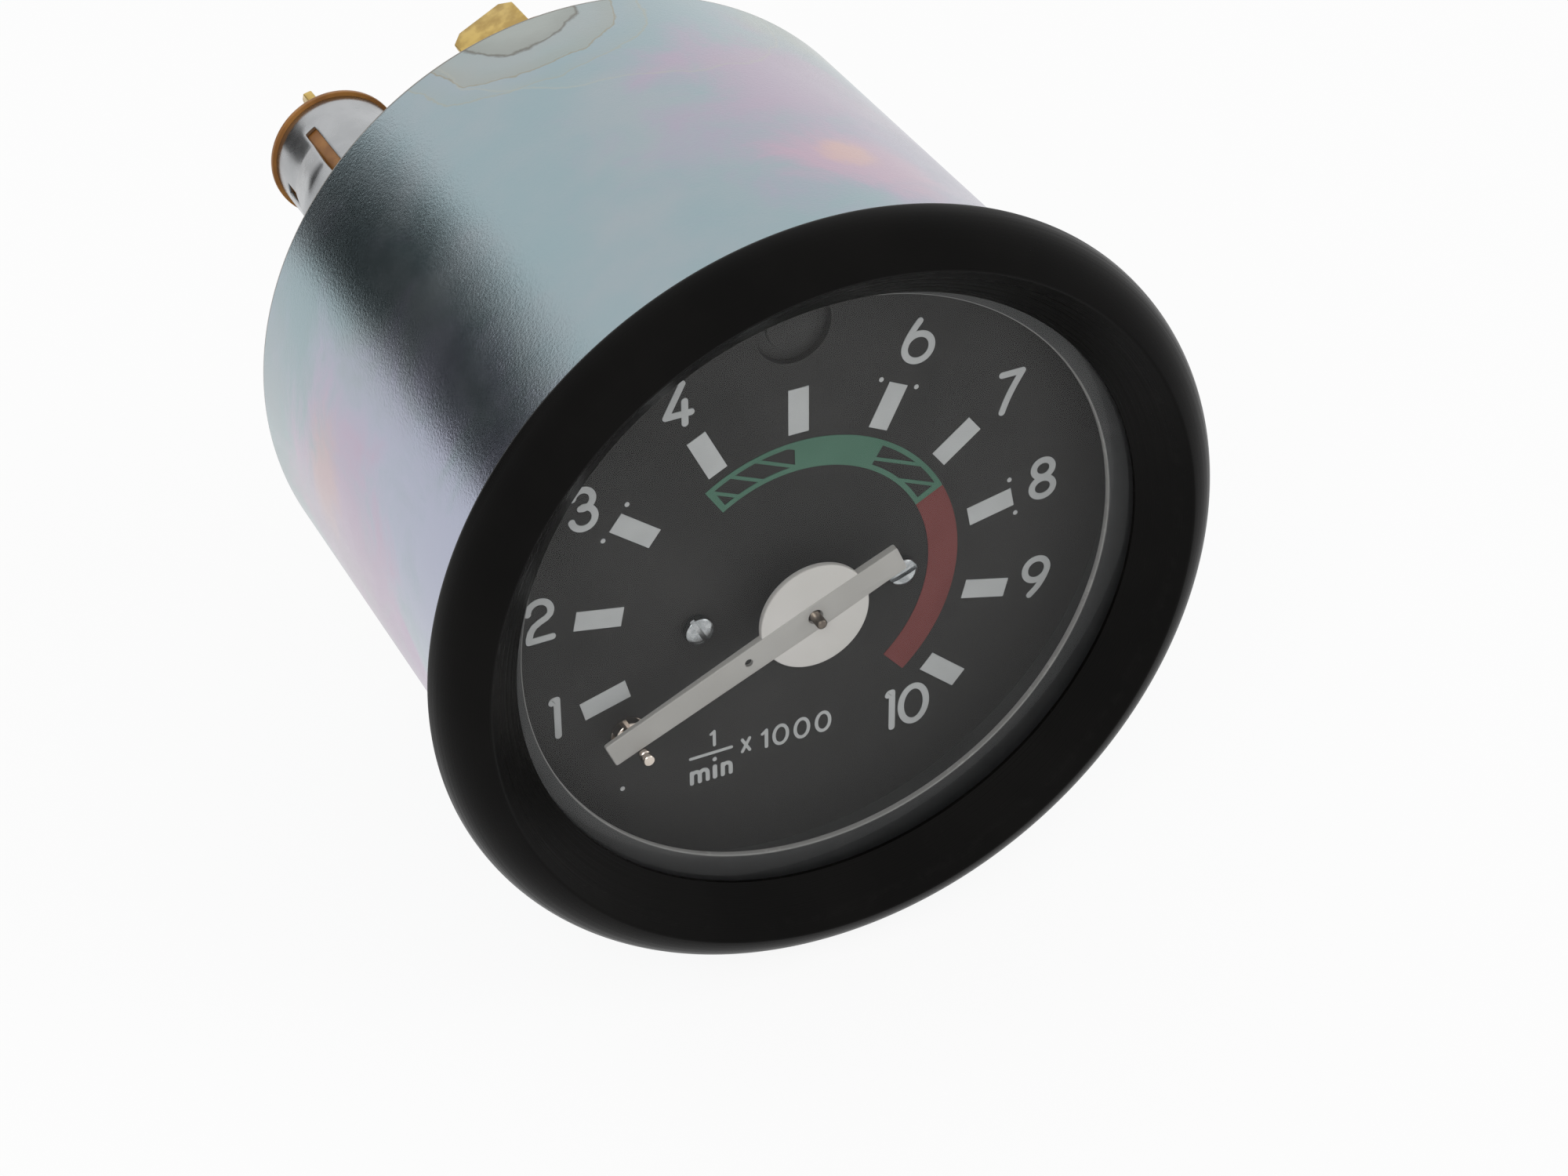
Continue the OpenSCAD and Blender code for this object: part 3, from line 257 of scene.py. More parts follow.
def ramp_between(tree, value, low, high):
    """0 below low, 1 above high, smooth in between."""
    step = add(tree, "MapRange", {"Value": value, "From Min": low, "From Max": high},
               interpolation_type="SMOOTHSTEP")
    return step.outputs["Result"]


def effect(name, inputs, outputs):
    """An empty node group with named sockets; gives its tree, its inputs and its outputs."""
    tree = bpy.data.node_groups.new(name, "ShaderNodeTree")
    for label, kind, value in inputs:
        socket = tree.interface.new_socket(label, in_out="INPUT", socket_type="NodeSocket" + kind)
        socket.default_value = value
    for label, kind in outputs:
        tree.interface.new_socket(label, in_out="OUTPUT", socket_type="NodeSocket" + kind)
    entry, leave = tree.nodes.new("NodeGroupInput"), tree.nodes.new("NodeGroupOutput")
    return tree, entry.outputs, leave.inputs


def on_piece(tree):
    """Object coordinates, in metres."""
    return add(tree, "TexCoord").outputs["Object"]


def in_millimetres(tree, size):
    """Object coordinates divided by a size in millimetres."""
    scale = maths(tree, "DIVIDE", 1000.0, size)
    return add(tree, "VectorMath", {0: on_piece(tree), "Scale": scale},
               operation="SCALE").outputs[0]


def noise(tree, vector, detail, rough, **more):
    """A noise of scale 1 along a vector; gives the drifting number."""
    return add(tree, "TexNoise", {"Vector": vector, "Scale": 1.0, "Detail": detail,
                                  "Roughness": rough, **more}).outputs["Fac"]


print("node helpers ready")

# %% [markdown]
# ### Shared effects
# Colour never lies evenly on old plating or paint, so `tone_drift` wanders between two tones.
# `fine_grain` is a height for a Bump node, and `rub_marks` are short stretched scratches.

# %% Tone drift, grain and rub marks
drift, given, out = effect(
    "tone_drift",
    [("Tone A", "Color", (0.5, 0.5, 0.5, 1)), ("Tone B", "Color", (0.4, 0.4, 0.4, 1)),
     ("Patch size", "Float", 8.0), ("Shift", "Float", 0.0)],
    [("Colour", "Color"), ("Mask", "Float")])
cloud = add(drift, "TexNoise", {"Vector": in_millimetres(drift, given["Patch size"]),
                                "W": given["Shift"], "Scale": 1.0, "Detail": 4.0,
                                "Roughness": 0.55}, noise_dimensions="4D")
mask = ramp_between(drift, cloud.outputs["Fac"], 0.36, 0.64)
drift.links.new(blend(drift, mask, given["Tone A"], given["Tone B"]), out["Colour"])
drift.links.new(mask, out["Mask"])

grain, given, out = effect(
    "fine_grain", [("Grain size", "Float", 0.25), ("Sharpness", "Float", 0.6)],
    [("Height", "Float")])
grain.links.new(noise(grain, in_millimetres(grain, given["Grain size"]), 2.0,
                      given["Sharpness"]), out["Height"])

rubs, given, out = effect(
    "rub_marks",
    [("Stretch", "Vector", (1.0, 8.0, 1.0)), ("Size", "Float", 4.0), ("Amount", "Float", 0.4)],
    [("Mask", "Float")])
drawn_out = add(rubs, "VectorMath", {0: in_millimetres(rubs, given["Size"]), 1: given["Stretch"]},
                operation="MULTIPLY").outputs[0]
streak = noise(rubs, drawn_out, 6.0, 0.7, Distortion=0.3)
limit = maths(rubs, "SUBTRACT", 0.72, maths(rubs, "MULTIPLY", given["Amount"], 0.2))
rubs.links.new(ramp_between(rubs, streak, limit, maths(rubs, "ADD", limit, 0.08)), out["Mask"])
print("groups:", [g.name for g in bpy.data.node_groups])

# %% [markdown]
# A lathe or a spinning polishing wheel leaves rings round its axis. `tool_rings` measures the
# distance to that axis and runs a one-dimensional noise along it. An edge mask uses the same
# distance to find a turned edge: on the bezel it is wear, where paint thins first, and on the
# ring behind the glass it is a painted highlight along the inner lip.

# %% Tool rings and edge wear
def distance_to_axis(tree, right, up):
    """Distance in millimetres to an axis that runs along Y at (right, up)."""
    place = add(tree, "SeparateXYZ", {0: on_piece(tree)}).outputs
    x = maths(tree, "SUBTRACT", maths(tree, "MULTIPLY", place["X"], 1000.0), right)
    z = maths(tree, "SUBTRACT", maths(tree, "MULTIPLY", place["Z"], 1000.0), up)
    square = maths(tree, "ADD", maths(tree, "MULTIPLY", x, x), maths(tree, "MULTIPLY", z, z))
    return maths(tree, "SQRT", square)


AXIS_INPUTS = [("Axis right", "Float", 0.0), ("Axis up", "Float", 0.0)]
rings, given, out = effect("tool_rings", AXIS_INPUTS + [("Ring pitch", "Float", 0.2)],
                           [("Height", "Float"), ("Mask", "Float")])
away = distance_to_axis(rings, given["Axis right"], given["Axis up"])
wander = add(rings, "TexNoise", {"Vector": on_piece(rings), "Scale": 60.0,
                                 "Detail": 1.0}).outputs["Fac"]
lathe = add(rings, "TexNoise",
            {"W": maths(rings, "ADD", maths(rings, "DIVIDE", away, given["Ring pitch"]),
                        maths(rings, "MULTIPLY", wander, 1.5)),
             "Scale": 1.0, "Detail": 3.0, "Roughness": 0.7}, noise_dimensions="1D")
rings.links.new(lathe.outputs["Fac"], out["Height"])
rings.links.new(ramp_between(rings, lathe.outputs["Fac"], 0.35, 0.65), out["Mask"])

# One edge mask for two uses: wear on the bezel, and a painted highlight on the ring's inner lip.
edge_mask_tree, given, out = effect(
    "edge_wear", AXIS_INPUTS + [("Edge radius", "Float", 30.0), ("Width", "Float", 0.4),
                               ("Gaps", "Float", 1.0)], [("Mask", "Float")])
away = distance_to_axis(edge_mask_tree, given["Axis right"], given["Axis up"])
off = maths(edge_mask_tree, "DIVIDE", maths(edge_mask_tree, "ABSOLUTE", maths(edge_mask_tree, "SUBTRACT", away,
                                                          given["Edge radius"])), given["Width"])
near = maths(edge_mask_tree, "SUBTRACT", 1.0, off, clamp=True)
patchy = noise(edge_mask_tree, in_millimetres(edge_mask_tree, 1.5), 5.0, 0.7)
whole = maths(edge_mask_tree, "SUBTRACT", 1.0, given["Gaps"])
in_patches = maths(edge_mask_tree, "MAXIMUM", ramp_between(edge_mask_tree, patchy, 0.45, 0.62), whole)
edge_mask_tree.links.new(maths(edge_mask_tree, "MULTIPLY", near, in_patches), out["Mask"])
print("groups:", len(bpy.data.node_groups))


# %% Starting a finish
def bare_tree(owner):
    """The empty node tree of a new material or world."""
    owner.use_nodes = True
    owner.node_tree.nodes.clear()
    return owner.node_tree


def spaced(values):
    """The same values, with the underscores of their names turned into spaces."""
    return {key.replace("_", " "): value for key, value in values.items()}


def new_finish(name, metallic=0.0, rough=0.5, **fixed):
    """A material with a Principled shader; fixed holds values of its other sockets."""
    FINISHES[name] = bpy.data.materials.new(name)
    tree = bare_tree(FINISHES[name])
    shader = add(tree, "BsdfPrincipled", {"Metallic": metallic, "Roughness": rough,
                                          **spaced(fixed)})
    return tree, shader, add(tree, "OutputMaterial", {"Surface": shader.outputs["BSDF"]})


def use(tree, group, **inputs):
    """A shared effect in a finish, with this finish's own values."""
    made = add(tree, "Group", node_tree=bpy.data.node_groups[group])
    return fill(tree, made, spaced(inputs)).outputs


def bumped(tree, shader, height, depth_mm, strength=0.6, after=None):
    """Feed a height in millimetres through a Bump node into the shader's normal."""
    inputs = {"Height": height, "Strength": strength, "Distance": depth_mm * MM}
    if after is not None:
        inputs["Normal"] = after
    normal = add(tree, "Bump", inputs).outputs["Normal"]
    tree.links.new(normal, shader.inputs["Normal"])
    return normal


def varied(tree, shader, mask, low, high):
    """Let a mask move the roughness between low and high."""
    spread = add(tree, "MapRange", {"Value": mask, "To Min": low, "To Max": high})
    tree.links.new(spread.outputs["Result"], shader.inputs["Roughness"])


def shade(r, g, b):
    """A colour with full opacity."""
    return (r, g, b, 1.0)


def let_through(tree, shader, surface, share, tint=(1, 1, 1)):
    """Put a Transparent shader in the place of a glass for a share of the rays."""
    open_air = add(tree, "BsdfTransparent", {"Color": shade(*tint)})
    both = add(tree, "MixShader", {0: share, 1: shader.outputs["BSDF"],
                                   2: open_air.outputs["BSDF"]})
    tree.links.new(both.outputs["Shader"], surface.inputs["Surface"])


def plain_finish(name, tone_a, tone_b, rough, metallic=0.0, patch=6.0, grain_size=0.2,
                 grain_depth=0.004, **fixed):
    """A finish with two drifting tones, roughness that follows them and maybe a fine grain."""
    tree, shader, _ = new_finish(name, metallic, rough, **fixed)
    tones = use(tree, "tone_drift", Tone_A=shade(*tone_a), Tone_B=shade(*tone_b),
                Patch_size=patch)
    tree.links.new(tones["Colour"], shader.inputs["Base Color"])
    varied(tree, shader, tones["Mask"], rough * 0.88, rough * 1.15)
    if grain_depth > 0:
        height = use(tree, "fine_grain", Grain_size=grain_size)["Height"]
        bumped(tree, shader, height, grain_depth)
    return tree, shader, tones


print("finish helpers ready")

# %% [markdown]
# ### Zinc plate on the case
# Passivated zinc is a metal with a film so thin that it tints the reflection: steel blue over
# most of this can, lilac and rose where the film is thicker, orange in the thickest spots. A slow
# noise drifts between two blues, and a few thick patches are laid where the can has them. The
# plating bath also left tide lines near the rear edge, which are rings at a wobbling distance
# from where a drop dried, and the turned rim behind them is coloured dark brown.

# %% Tide lines left by drying drops
tide, given, out = effect(
    "tide_line",
    [("Drop place", "Vector", (0.0, 0.04, 0.03)), ("Drop radius", "Float", 7.0),
     ("Line width", "Float", 0.25), ("Wobble", "Float", 1.0)],
    [("Line", "Float"), ("Inside", "Float")])
apart = add(tide, "VectorMath", {0: on_piece(tide), 1: given["Drop place"]},
            operation="DISTANCE")
uneven = noise(tide, in_millimetres(tide, 7.0), 5.0, 0.55)
spread = maths(tide, "MULTIPLY", maths(tide, "SUBTRACT", uneven, 0.5),
               maths(tide, "MULTIPLY", given["Wobble"], 4.0))
reached = maths(tide, "ADD", maths(tide, "MULTIPLY", apart.outputs["Value"], 1000.0), spread)
past = maths(tide, "SUBTRACT", reached, given["Drop radius"])
thin = maths(tide, "DIVIDE", maths(tide, "ABSOLUTE", past), given["Line width"])
line = maths(tide, "SUBTRACT", 1.0, thin, clamp=True)
soft = maths(tide, "MULTIPLY", ramp_between(tide, past, -2.2, 0.0),
             maths(tide, "LESS_THAN", past, 0.0))
both = maths(tide, "MAXIMUM", line, maths(tide, "MULTIPLY", soft, 0.25))
tide.links.new(both, out["Line"])
tide.links.new(maths(tide, "LESS_THAN", past, 0.0), out["Inside"])

film, given, out = effect(
    "film_patch", [("Patch place", "Vector", (0.0, 0.03, 0.03)), ("Patch radius", "Float", 7.0),
                   ("Stretch", "Vector", (1.0, 1.0, 1.0))], [("Mask", "Float")])
place = add(film, "VectorMath", {0: on_piece(film), 1: given["Patch place"]},
            operation="SUBTRACT").outputs[0]
place = add(film, "VectorMath", {0: place, 1: given["Stretch"]}, operation="MULTIPLY").outputs[0]
apart = add(film, "VectorMath", {0: place}, operation="LENGTH").outputs["Value"]
uneven = noise(film, in_millimetres(film, 9.0), 5.0, 0.6, Distortion=0.6)
share = maths(film, "DIVIDE", maths(film, "MULTIPLY", apart, 1000.0), given["Patch radius"])
share = maths(film, "ADD", share, maths(film, "MULTIPLY", maths(film, "SUBTRACT", uneven, 0.5),
                                        2.2))
film.links.new(maths(film, "SUBTRACT", 1.0, ramp_between(film, share, 0.25, 1.15)), out["Mask"])
print("tide_line and film_patch ready")

# %% Zinc-plated sheet
tree, shader, _ = new_finish("zinc_sheet", metallic=1.0, rough=0.21)
cloudy = use(tree, "tone_drift", Tone_A=shade(0.295, 0.39, 0.42),
             Tone_B=shade(0.345, 0.40, 0.43), Patch_size=15.0, Shift=2.0)
colour = cloudy["Colour"]
thick_film = [  # place in millimetres, radius, stretch, tint, strength
    ((-30, 8, 6), 17, (1, 0.5, 1), (0.43, 0.44, 0.56), 0.8),
    ((16, 20, 26), 17, (0.8, 0.7, 1), (0.39, 0.345, 0.45), 0.75),
    ((-29, 26, -4), 11, (1, 0.7, 0.8), (0.47, 0.36, 0.46), 0.8),
    ((-28, 12, -12), 10, (1, 0.6, 1), (0.44, 0.33, 0.47), 0.7),
    ((10, 28, 28), 8, (0.8, 0.6, 1), (0.43, 0.35, 0.44), 0.75),
    ((10, 15, 28), 6.5, (0.7, 1, 1), (0.50, 0.36, 0.44), 0.8),
    ((9.5, 16, 28.5), 2.6, (1, 1, 1), (0.62, 0.42, 0.36), 0.7),
    ((-29.5, 31, 1), 3.5, (1, 1, 0.6), (0.55, 0.40, 0.37), 0.6),
    ((18, 44, 24), 7, (1, 1, 1), (0.36, 0.42, 0.36), 0.6)]
for spot, radius, stretch, tint, strength in thick_film:
    mask = use(tree, "film_patch", Patch_place=Vector(spot) * MM, Patch_radius=radius,
               Stretch=stretch)["Mask"]
    colour = blend(tree, maths(tree, "MULTIPLY", mask, strength), colour, shade(*tint))
DROP, OLD_DROP = Vector((-5.5, 46.5, 29.4)) * MM, Vector((2.0, 46.0, 29.9)) * MM
for radius, strength in ((8.4, 0.3), (5.3, 0.4)):
    dried = use(tree, "tide_line", Drop_place=DROP, Drop_radius=radius)["Inside"]
    colour = blend(tree, maths(tree, "MULTIPLY", dried, strength), colour,
                   shade(0.38, 0.39, 0.33))
tide_lines = [  # place, radius and width in millimetres, tint, strength
    (DROP, 5.3, 0.26, (0.13, 0.12, 0.10), 0.85), (DROP, 8.4, 0.16, (0.30, 0.26, 0.17), 0.75),
    (DROP, 10.8, 0.2, (0.38, 0.37, 0.28), 0.5), (OLD_DROP, 15.0, 0.25, (0.42, 0.43, 0.38), 0.45)]
for drop, radius, width, tint, strength in tide_lines:
    line = use(tree, "tide_line", Drop_place=drop, Drop_radius=radius, Line_width=width)["Line"]
    colour = blend(tree, maths(tree, "MULTIPLY", line, strength), colour, shade(*tint))
back = add(tree, "SeparateXYZ", {0: on_piece(tree)}).outputs["Y"]
brown_rim = ramp_between(tree, maths(tree, "MULTIPLY", back, 1000.0), 45.15, 45.4)
colour = blend(tree, maths(tree, "MULTIPLY", brown_rim, 0.85), colour, shade(0.1, 0.065, 0.035))
tree.links.new(colour, shader.inputs["Base Color"])
varied(tree, shader, cloudy["Mask"], 0.19, 0.24)
sand = use(tree, "fine_grain", Grain_size=0.26, Sharpness=0.75)["Height"]
bumped(tree, shader, sand, 0.02, strength=0.7)
print("zinc_sheet has", len(tree.nodes), "nodes")

# %% [markdown]
# ### Black bezel, rubber and glass
# The bezel is satin black with the faint rings of a polishing wheel; its crest is a little
# thinner. The glass is the one hard finish. Rendered as a thick block it would bend the dial
# aside and throw a solid shadow on it. So its body hardly bends light, a clear coat gives it the
# gloss of glass, and for shadow and diffuse rays a Transparent shader takes its place.

# %% Bezel, gasket and glass
tree, shader, _ = new_finish("bezel_black", rough=0.3, Specular_IOR_Level=0.06)
tones = use(tree, "tone_drift", Tone_A=shade(0.0036, 0.0033, 0.003),
            Tone_B=shade(0.0024, 0.0022, 0.002), Patch_size=9.0)
wheel = use(tree, "tool_rings", Ring_pitch=0.14)
thin_paint = use(tree, "edge_wear", Edge_radius=29.3, Width=0.5)["Mask"]
colour = blend(tree, maths(tree, "MULTIPLY", thin_paint, 0.25), tones["Colour"],
               shade(0.009, 0.0082, 0.0078))
tree.links.new(colour, shader.inputs["Base Color"])
varied(tree, shader, wheel["Mask"], 0.25, 0.38)
bumped(tree, shader, wheel["Height"], 0.006, strength=0.5)

plain_finish("black_rubber", (0.012, 0.012, 0.012), (0.02, 0.02, 0.02), 0.55, patch=3.0,
             grain_depth=0.01)

tree, shader, surface = new_finish("clear_glass", rough=0.0, Transmission_Weight=1.0, IOR=1.01,
                                   Coat_Weight=0.24, Coat_IOR=1.5, Coat_Roughness=0.01)
shader.inputs["Base Color"].default_value = shade(0.985, 0.995, 0.99)
smear = use(tree, "tone_drift", Patch_size=11.0)["Mask"]
varied(tree, shader, smear, 0.0, 0.02)
rays = add(tree, "LightPath").outputs
let_through(tree, shader, surface, maths(tree, "MAXIMUM", rays["Is Shadow Ray"],
                                         rays["Is Diffuse Ray"]), tint=(0.93, 0.94, 0.935))
print("bezel_black, black_rubber and clear_glass ready")

# %% [markdown]
# ### Behind the glass
# The dial is matt black; the inks, screen-printed in one pass each, are a light grey, a dull
# green and a dull red. The pointer's stoved paint is a warm off-white; its cap has a lighter
# copy of that paint, a painted highlight for the light the cap catches, and the grey ring has a
# painted highlight along its inner lip. Everything here is seen through the pane, whose own
# reflection lifts the blacks.

# %% Dial, inks and pointer
INK_LOOK = dict(grain_depth=0.0, Specular_IOR_Level=0.15)
PAINT_LOOK = dict(grain_depth=0.0, Specular_IOR_Level=0.3)
for name, tone_a, tone_b, rough, patch, look in (
        ("dial_black", (0.024, 0.0225, 0.022), (0.019, 0.018, 0.0175), 0.6, 14.0, INK_LOOK),
        ("mark_grey", (0.49, 0.49, 0.495), (0.45, 0.45, 0.455), 0.6, 5.0, INK_LOOK),
        ("mark_green", (0.07, 0.158, 0.112), (0.062, 0.143, 0.1), 0.6, 5.0, INK_LOOK),
        ("mark_red", (0.165, 0.043, 0.041), (0.15, 0.038, 0.036), 0.6, 5.0, INK_LOOK),
        ("pointer_white", (0.415, 0.395, 0.38), (0.39, 0.37, 0.355), 0.5, 5.0, PAINT_LOOK),
        # The cap's row is a lighter copy of the pointer's paint: a painted highlight for the light
        # it catches.
        ("cap_white", (0.61, 0.575, 0.56), (0.58, 0.55, 0.53), 0.5, 5.0, PAINT_LOOK)):
    plain_finish(name, tone_a, tone_b, rough, patch=patch, **look)
RING_IN_R = 25.45
tree, shader, tones = plain_finish(
    "grey_ring", (0.042, 0.041, 0.042), (0.034, 0.034, 0.035), 0.55, patch=8.0,
    grain_depth=0.0, Specular_IOR_Level=0.25)
# Painted highlight: a light line laid all round the ring's inner lip, where its edge catches
# light.
painted_highlight_lip = use(tree, "edge_wear", Edge_radius=RING_IN_R + 0.01, Width=0.12, Gaps=0.2)["Mask"]
tree.links.new(blend(tree, painted_highlight_lip, tones["Colour"], shade(0.36, 0.35, 0.34)),
               shader.inputs["Base Color"])
plain_finish("black_sleeve", (0.012, 0.012, 0.012), (0.018, 0.018, 0.018), 0.6, patch=8.0)
plain_finish("lens_dark", (0.026, 0.0245, 0.024), (0.022, 0.021, 0.0205), 0.45, patch=2.0,
             grain_depth=0.0, Specular_IOR_Level=0.2)
print(len(FINISHES), "finishes so far")

# %% [markdown]
# ### Metals
# Every metal part has its base tone, a second tone for drift, and either tool rings where it
# came off a lathe or rub marks where it was drawn and handled.

# %% Metals
def metal(name, tone_a, tone_b, rough, axis=None, rub_tone=None, patch=4.0, grain_size=0.2,
          grain_depth=0.004):
    """A metal finish: turned when it has an axis, rubbed when it has a rub tone."""
    tree, shader, _ = new_finish(name, 1.0, rough)
    tones = use(tree, "tone_drift", Tone_A=shade(*tone_a), Tone_B=shade(*tone_b),
                Patch_size=patch)
    colour = tones["Colour"]
    if rub_tone:
        marks = use(tree, "rub_marks", Amount=0.45, Size=3.0)["Mask"]
        colour = blend(tree, maths(tree, "MULTIPLY", marks, 0.6), colour, shade(*rub_tone))
    tree.links.new(colour, shader.inputs["Base Color"])
    varied(tree, shader, tones["Mask"], rough * 0.85, rough * 1.2)
    normal = bumped(tree, shader, use(tree, "fine_grain", Grain_size=grain_size)["Height"],
                    grain_depth)
    if axis:
        height = use(tree, "tool_rings", Axis_right=axis[0], Axis_up=axis[1],
                     Ring_pitch=0.12)["Height"]
        bumped(tree, shader, height, 0.008, after=normal)


metal("lamp_sleeve", (0.44, 0.45, 0.46), (0.39, 0.40, 0.41), 0.27, rub_tone=(0.36, 0.36, 0.36),
      grain_size=0.5)
metal("zinc_screw", (0.60, 0.61, 0.63), (0.50, 0.52, 0.55), 0.26, rub_tone=(0.38, 0.38, 0.38))
# The dial screws get a darker copy of the screw zinc: painted shade for the dimmer light behind
# the glass.
metal("dial_screw_zinc", (0.46, 0.47, 0.48), (0.30, 0.31, 0.32), 0.2, patch=0.8)
# A dark brown steel, darker than the turned steel, for the spindle's tip in the cap's bore.
metal("oiled_steel", (0.17, 0.14, 0.115), (0.11, 0.09, 0.075), 0.32, patch=1.0)
metal("stop_nickel", (0.64, 0.56, 0.50), (0.56, 0.48, 0.42), 0.14)
metal("tube_alu", (0.56, 0.56, 0.54), (0.50, 0.50, 0.49), 0.36, rub_tone=(0.42, 0.42, 0.41))
metal("turned_steel", (0.50, 0.49, 0.47), (0.44, 0.43, 0.41), 0.3, axis=POINTER_AXIS)
metal("turned_brass", (0.66, 0.50, 0.24), (0.58, 0.43, 0.2), 0.28, axis=POINTER_AXIS)
metal("spring_bronze", (0.62, 0.43, 0.26), (0.55, 0.38, 0.22), 0.3)
metal("cup_alu", (0.76, 0.77, 0.78), (0.70, 0.71, 0.72), 0.3, axis=POINTER_AXIS)
metal("die_cast", (0.50, 0.51, 0.52), (0.43, 0.44, 0.45), 0.42, rub_tone=(0.33, 0.33, 0.33),
      grain_size=0.35, grain_depth=0.012)
metal("keeper_steel", (0.38, 0.38, 0.39), (0.33, 0.33, 0.34), 0.42, axis=POINTER_AXIS)
metal("bush_bronze", (0.50, 0.33, 0.15), (0.43, 0.28, 0.12), 0.45, grain_size=0.15,
      grain_depth=0.01)
metal("blade_brass", (0.62, 0.44, 0.13), (0.46, 0.31, 0.09), 0.34, patch=1.6,
      rub_tone=(0.34, 0.24, 0.1), grain_depth=0.008)
metal("bulb_cap", (0.60, 0.55, 0.42), (0.52, 0.47, 0.35), 0.3)
print(len(FINISHES), "finishes so far")

# %% Moulded, sintered and blown pieces
plain_finish("magnet_black", (0.06, 0.06, 0.065), (0.045, 0.045, 0.05), 0.5, metallic=0.6,
             grain_size=0.3, grain_depth=0.01)
plain_finish("jewel_red", (0.40, 0.03, 0.06), (0.3, 0.02, 0.04), 0.12, patch=1.0)
plain_finish("insulator_brown", (0.36, 0.155, 0.03), (0.25, 0.1, 0.02), 0.35, patch=2.5,
             grain_size=0.4, grain_depth=0.01)
tree, shader, surface = new_finish("bulb_glass", rough=0.02, Transmission_Weight=1.0, IOR=1.45)
varied(tree, shader, use(tree, "tone_drift", Patch_size=4.0)["Mask"], 0.0, 0.05)
let_through(tree, shader, surface, add(tree, "LightPath").outputs["Is Shadow Ray"])
print(len(FINISHES), "finishes in all")

# %% [markdown]
# ## Nodes that keep their shape
# Flat and hidden pieces of the measured model are right as they are: the dial plate, the bars
# and bands printed on it, and the movement inside the case. They only take their finish, by
# the slot that the record names for each of them.

# %% Finishes for the measured nodes
slot_of = {part["node"]: part["material_slot"] for part in frame["record"]["subparts"]}
for name, node in NODES.items():
    node.data.materials.clear()
    node.data.materials.append(FINISHES[slot_of[name]])
print("nodes with a finish:", len(slot_of))

# %% [markdown]
# ## The case
# The can is deep-drawn from 0.8 mm sheet: a tube with a flange at the front that the bezel
# grips, and a rim at the rear turned in over the rear plate. One eased outline gives it all.

# %% Case tube
CASE_R, CASE_LEN, CASE_WALL = 30.0, 45.7, 0.8
CASE_IN_R = CASE_R - CASE_WALL
LIP_R, FLANGE_R, FLANGE_REAR, FLANGE_FRONT, FLANGE_BEND = 28.6, 32.4, 0.7, 1.5, 0.3
PLATE_REAR = CASE_WALL - CASE_LEN
case_outline = [(LIP_R, -CASE_LEN), (CASE_R, -CASE_LEN), (CASE_R, 0),
                (CASE_R + FLANGE_BEND, FLANGE_REAR), (FLANGE_R, FLANGE_REAR),
                (FLANGE_R, FLANGE_FRONT), (CASE_IN_R, FLANGE_FRONT), (CASE_IN_R, PLATE_REAR),
                (LIP_R, PLATE_REAR)]
turned("case_shell", eased(case_outline, 0.45), "zinc_sheet", steps=288,
       stands_for=["case_tube"])

# %% [markdown]
# ## The bezel
# Its section is a thin sheet rolled round: a quarter-round at the rear edge, a large dome, a
# tight crest, and a straight cone down to the window, thinned to a lip just above the glass. The
# cone has to leave the crest as a tangent, so the angle where they meet is worked out.

# %% Bezel
SHEET, DOME_R, CREST_R, CONE = 0.7, 4.4, 0.35, 45.0
DOME_AT = np.array([29.05, 0.6])
BEZEL_IN_R, BACK_R, BACK_AT, LIP_ROUND = CASE_R + 0.36, 0.6, (32.85, 0.6), 0.12
GLASS_FRONT, GLASS_REAR, GLASS_R = 1.05, -0.55, 28.9
WINDOW_R, LIP_FRONT, LIP_REAR = 26.7, GLASS_FRONT + 0.4, GLASS_FRONT + 0.07
window_edge = np.array([WINDOW_R, LIP_FRONT])
cone_normal = np.array([-math.sin(math.radians(CONE)), math.cos(math.radians(CONE))])


def cone_meets(radius, depth):
    """Angle on an arc about the dome's centre where it lies depth below the cone."""
    reach = (-depth - cone_normal @ (DOME_AT - window_edge)) / radius
    return 90 + CONE - math.degrees(math.acos(reach))


crest_angle = cone_meets(DOME_R - CREST_R, CREST_R)
crest_at = DOME_AT + (DOME_R - CREST_R) * np.array([math.cos(math.radians(crest_angle)),
                                                    math.sin(math.radians(crest_angle))])
under_r = DOME_R - SHEET
bezel_section = (
    [(BEZEL_IN_R, 0), (CASE_R + 1.6, 0)] + arc(BACK_AT, BACK_R, -90, 0, 8)
    + arc(DOME_AT, DOME_R, 2, crest_angle, 30)
    + arc(crest_at, CREST_R, crest_angle + 8, 89.5 + CONE, 7)
    + arc(window_edge + (LIP_ROUND, -0.04), LIP_ROUND, 130, 180, 4)
    + [(WINDOW_R, LIP_REAR + LIP_ROUND / 2), (WINDOW_R + LIP_ROUND / 2, LIP_REAR)]
    + arc(DOME_AT, under_r, cone_meets(under_r, SHEET), 1.6, 16) + [(BEZEL_IN_R, SHEET)])
turned("bezel_ring", bezel_section, "bezel_black", steps=320, stands_for=["bezel"])
print("crest at", crest_at.round(2), "angle", round(crest_angle, 1))

# %% [markdown]
# ## Gasket, glass, ring and distance sleeve
# The rubber gasket fills the bezel's roll and shows as a thin dark wall above the glass. The
# ring behind the glass and the black sleeve hold the dial at its distance.

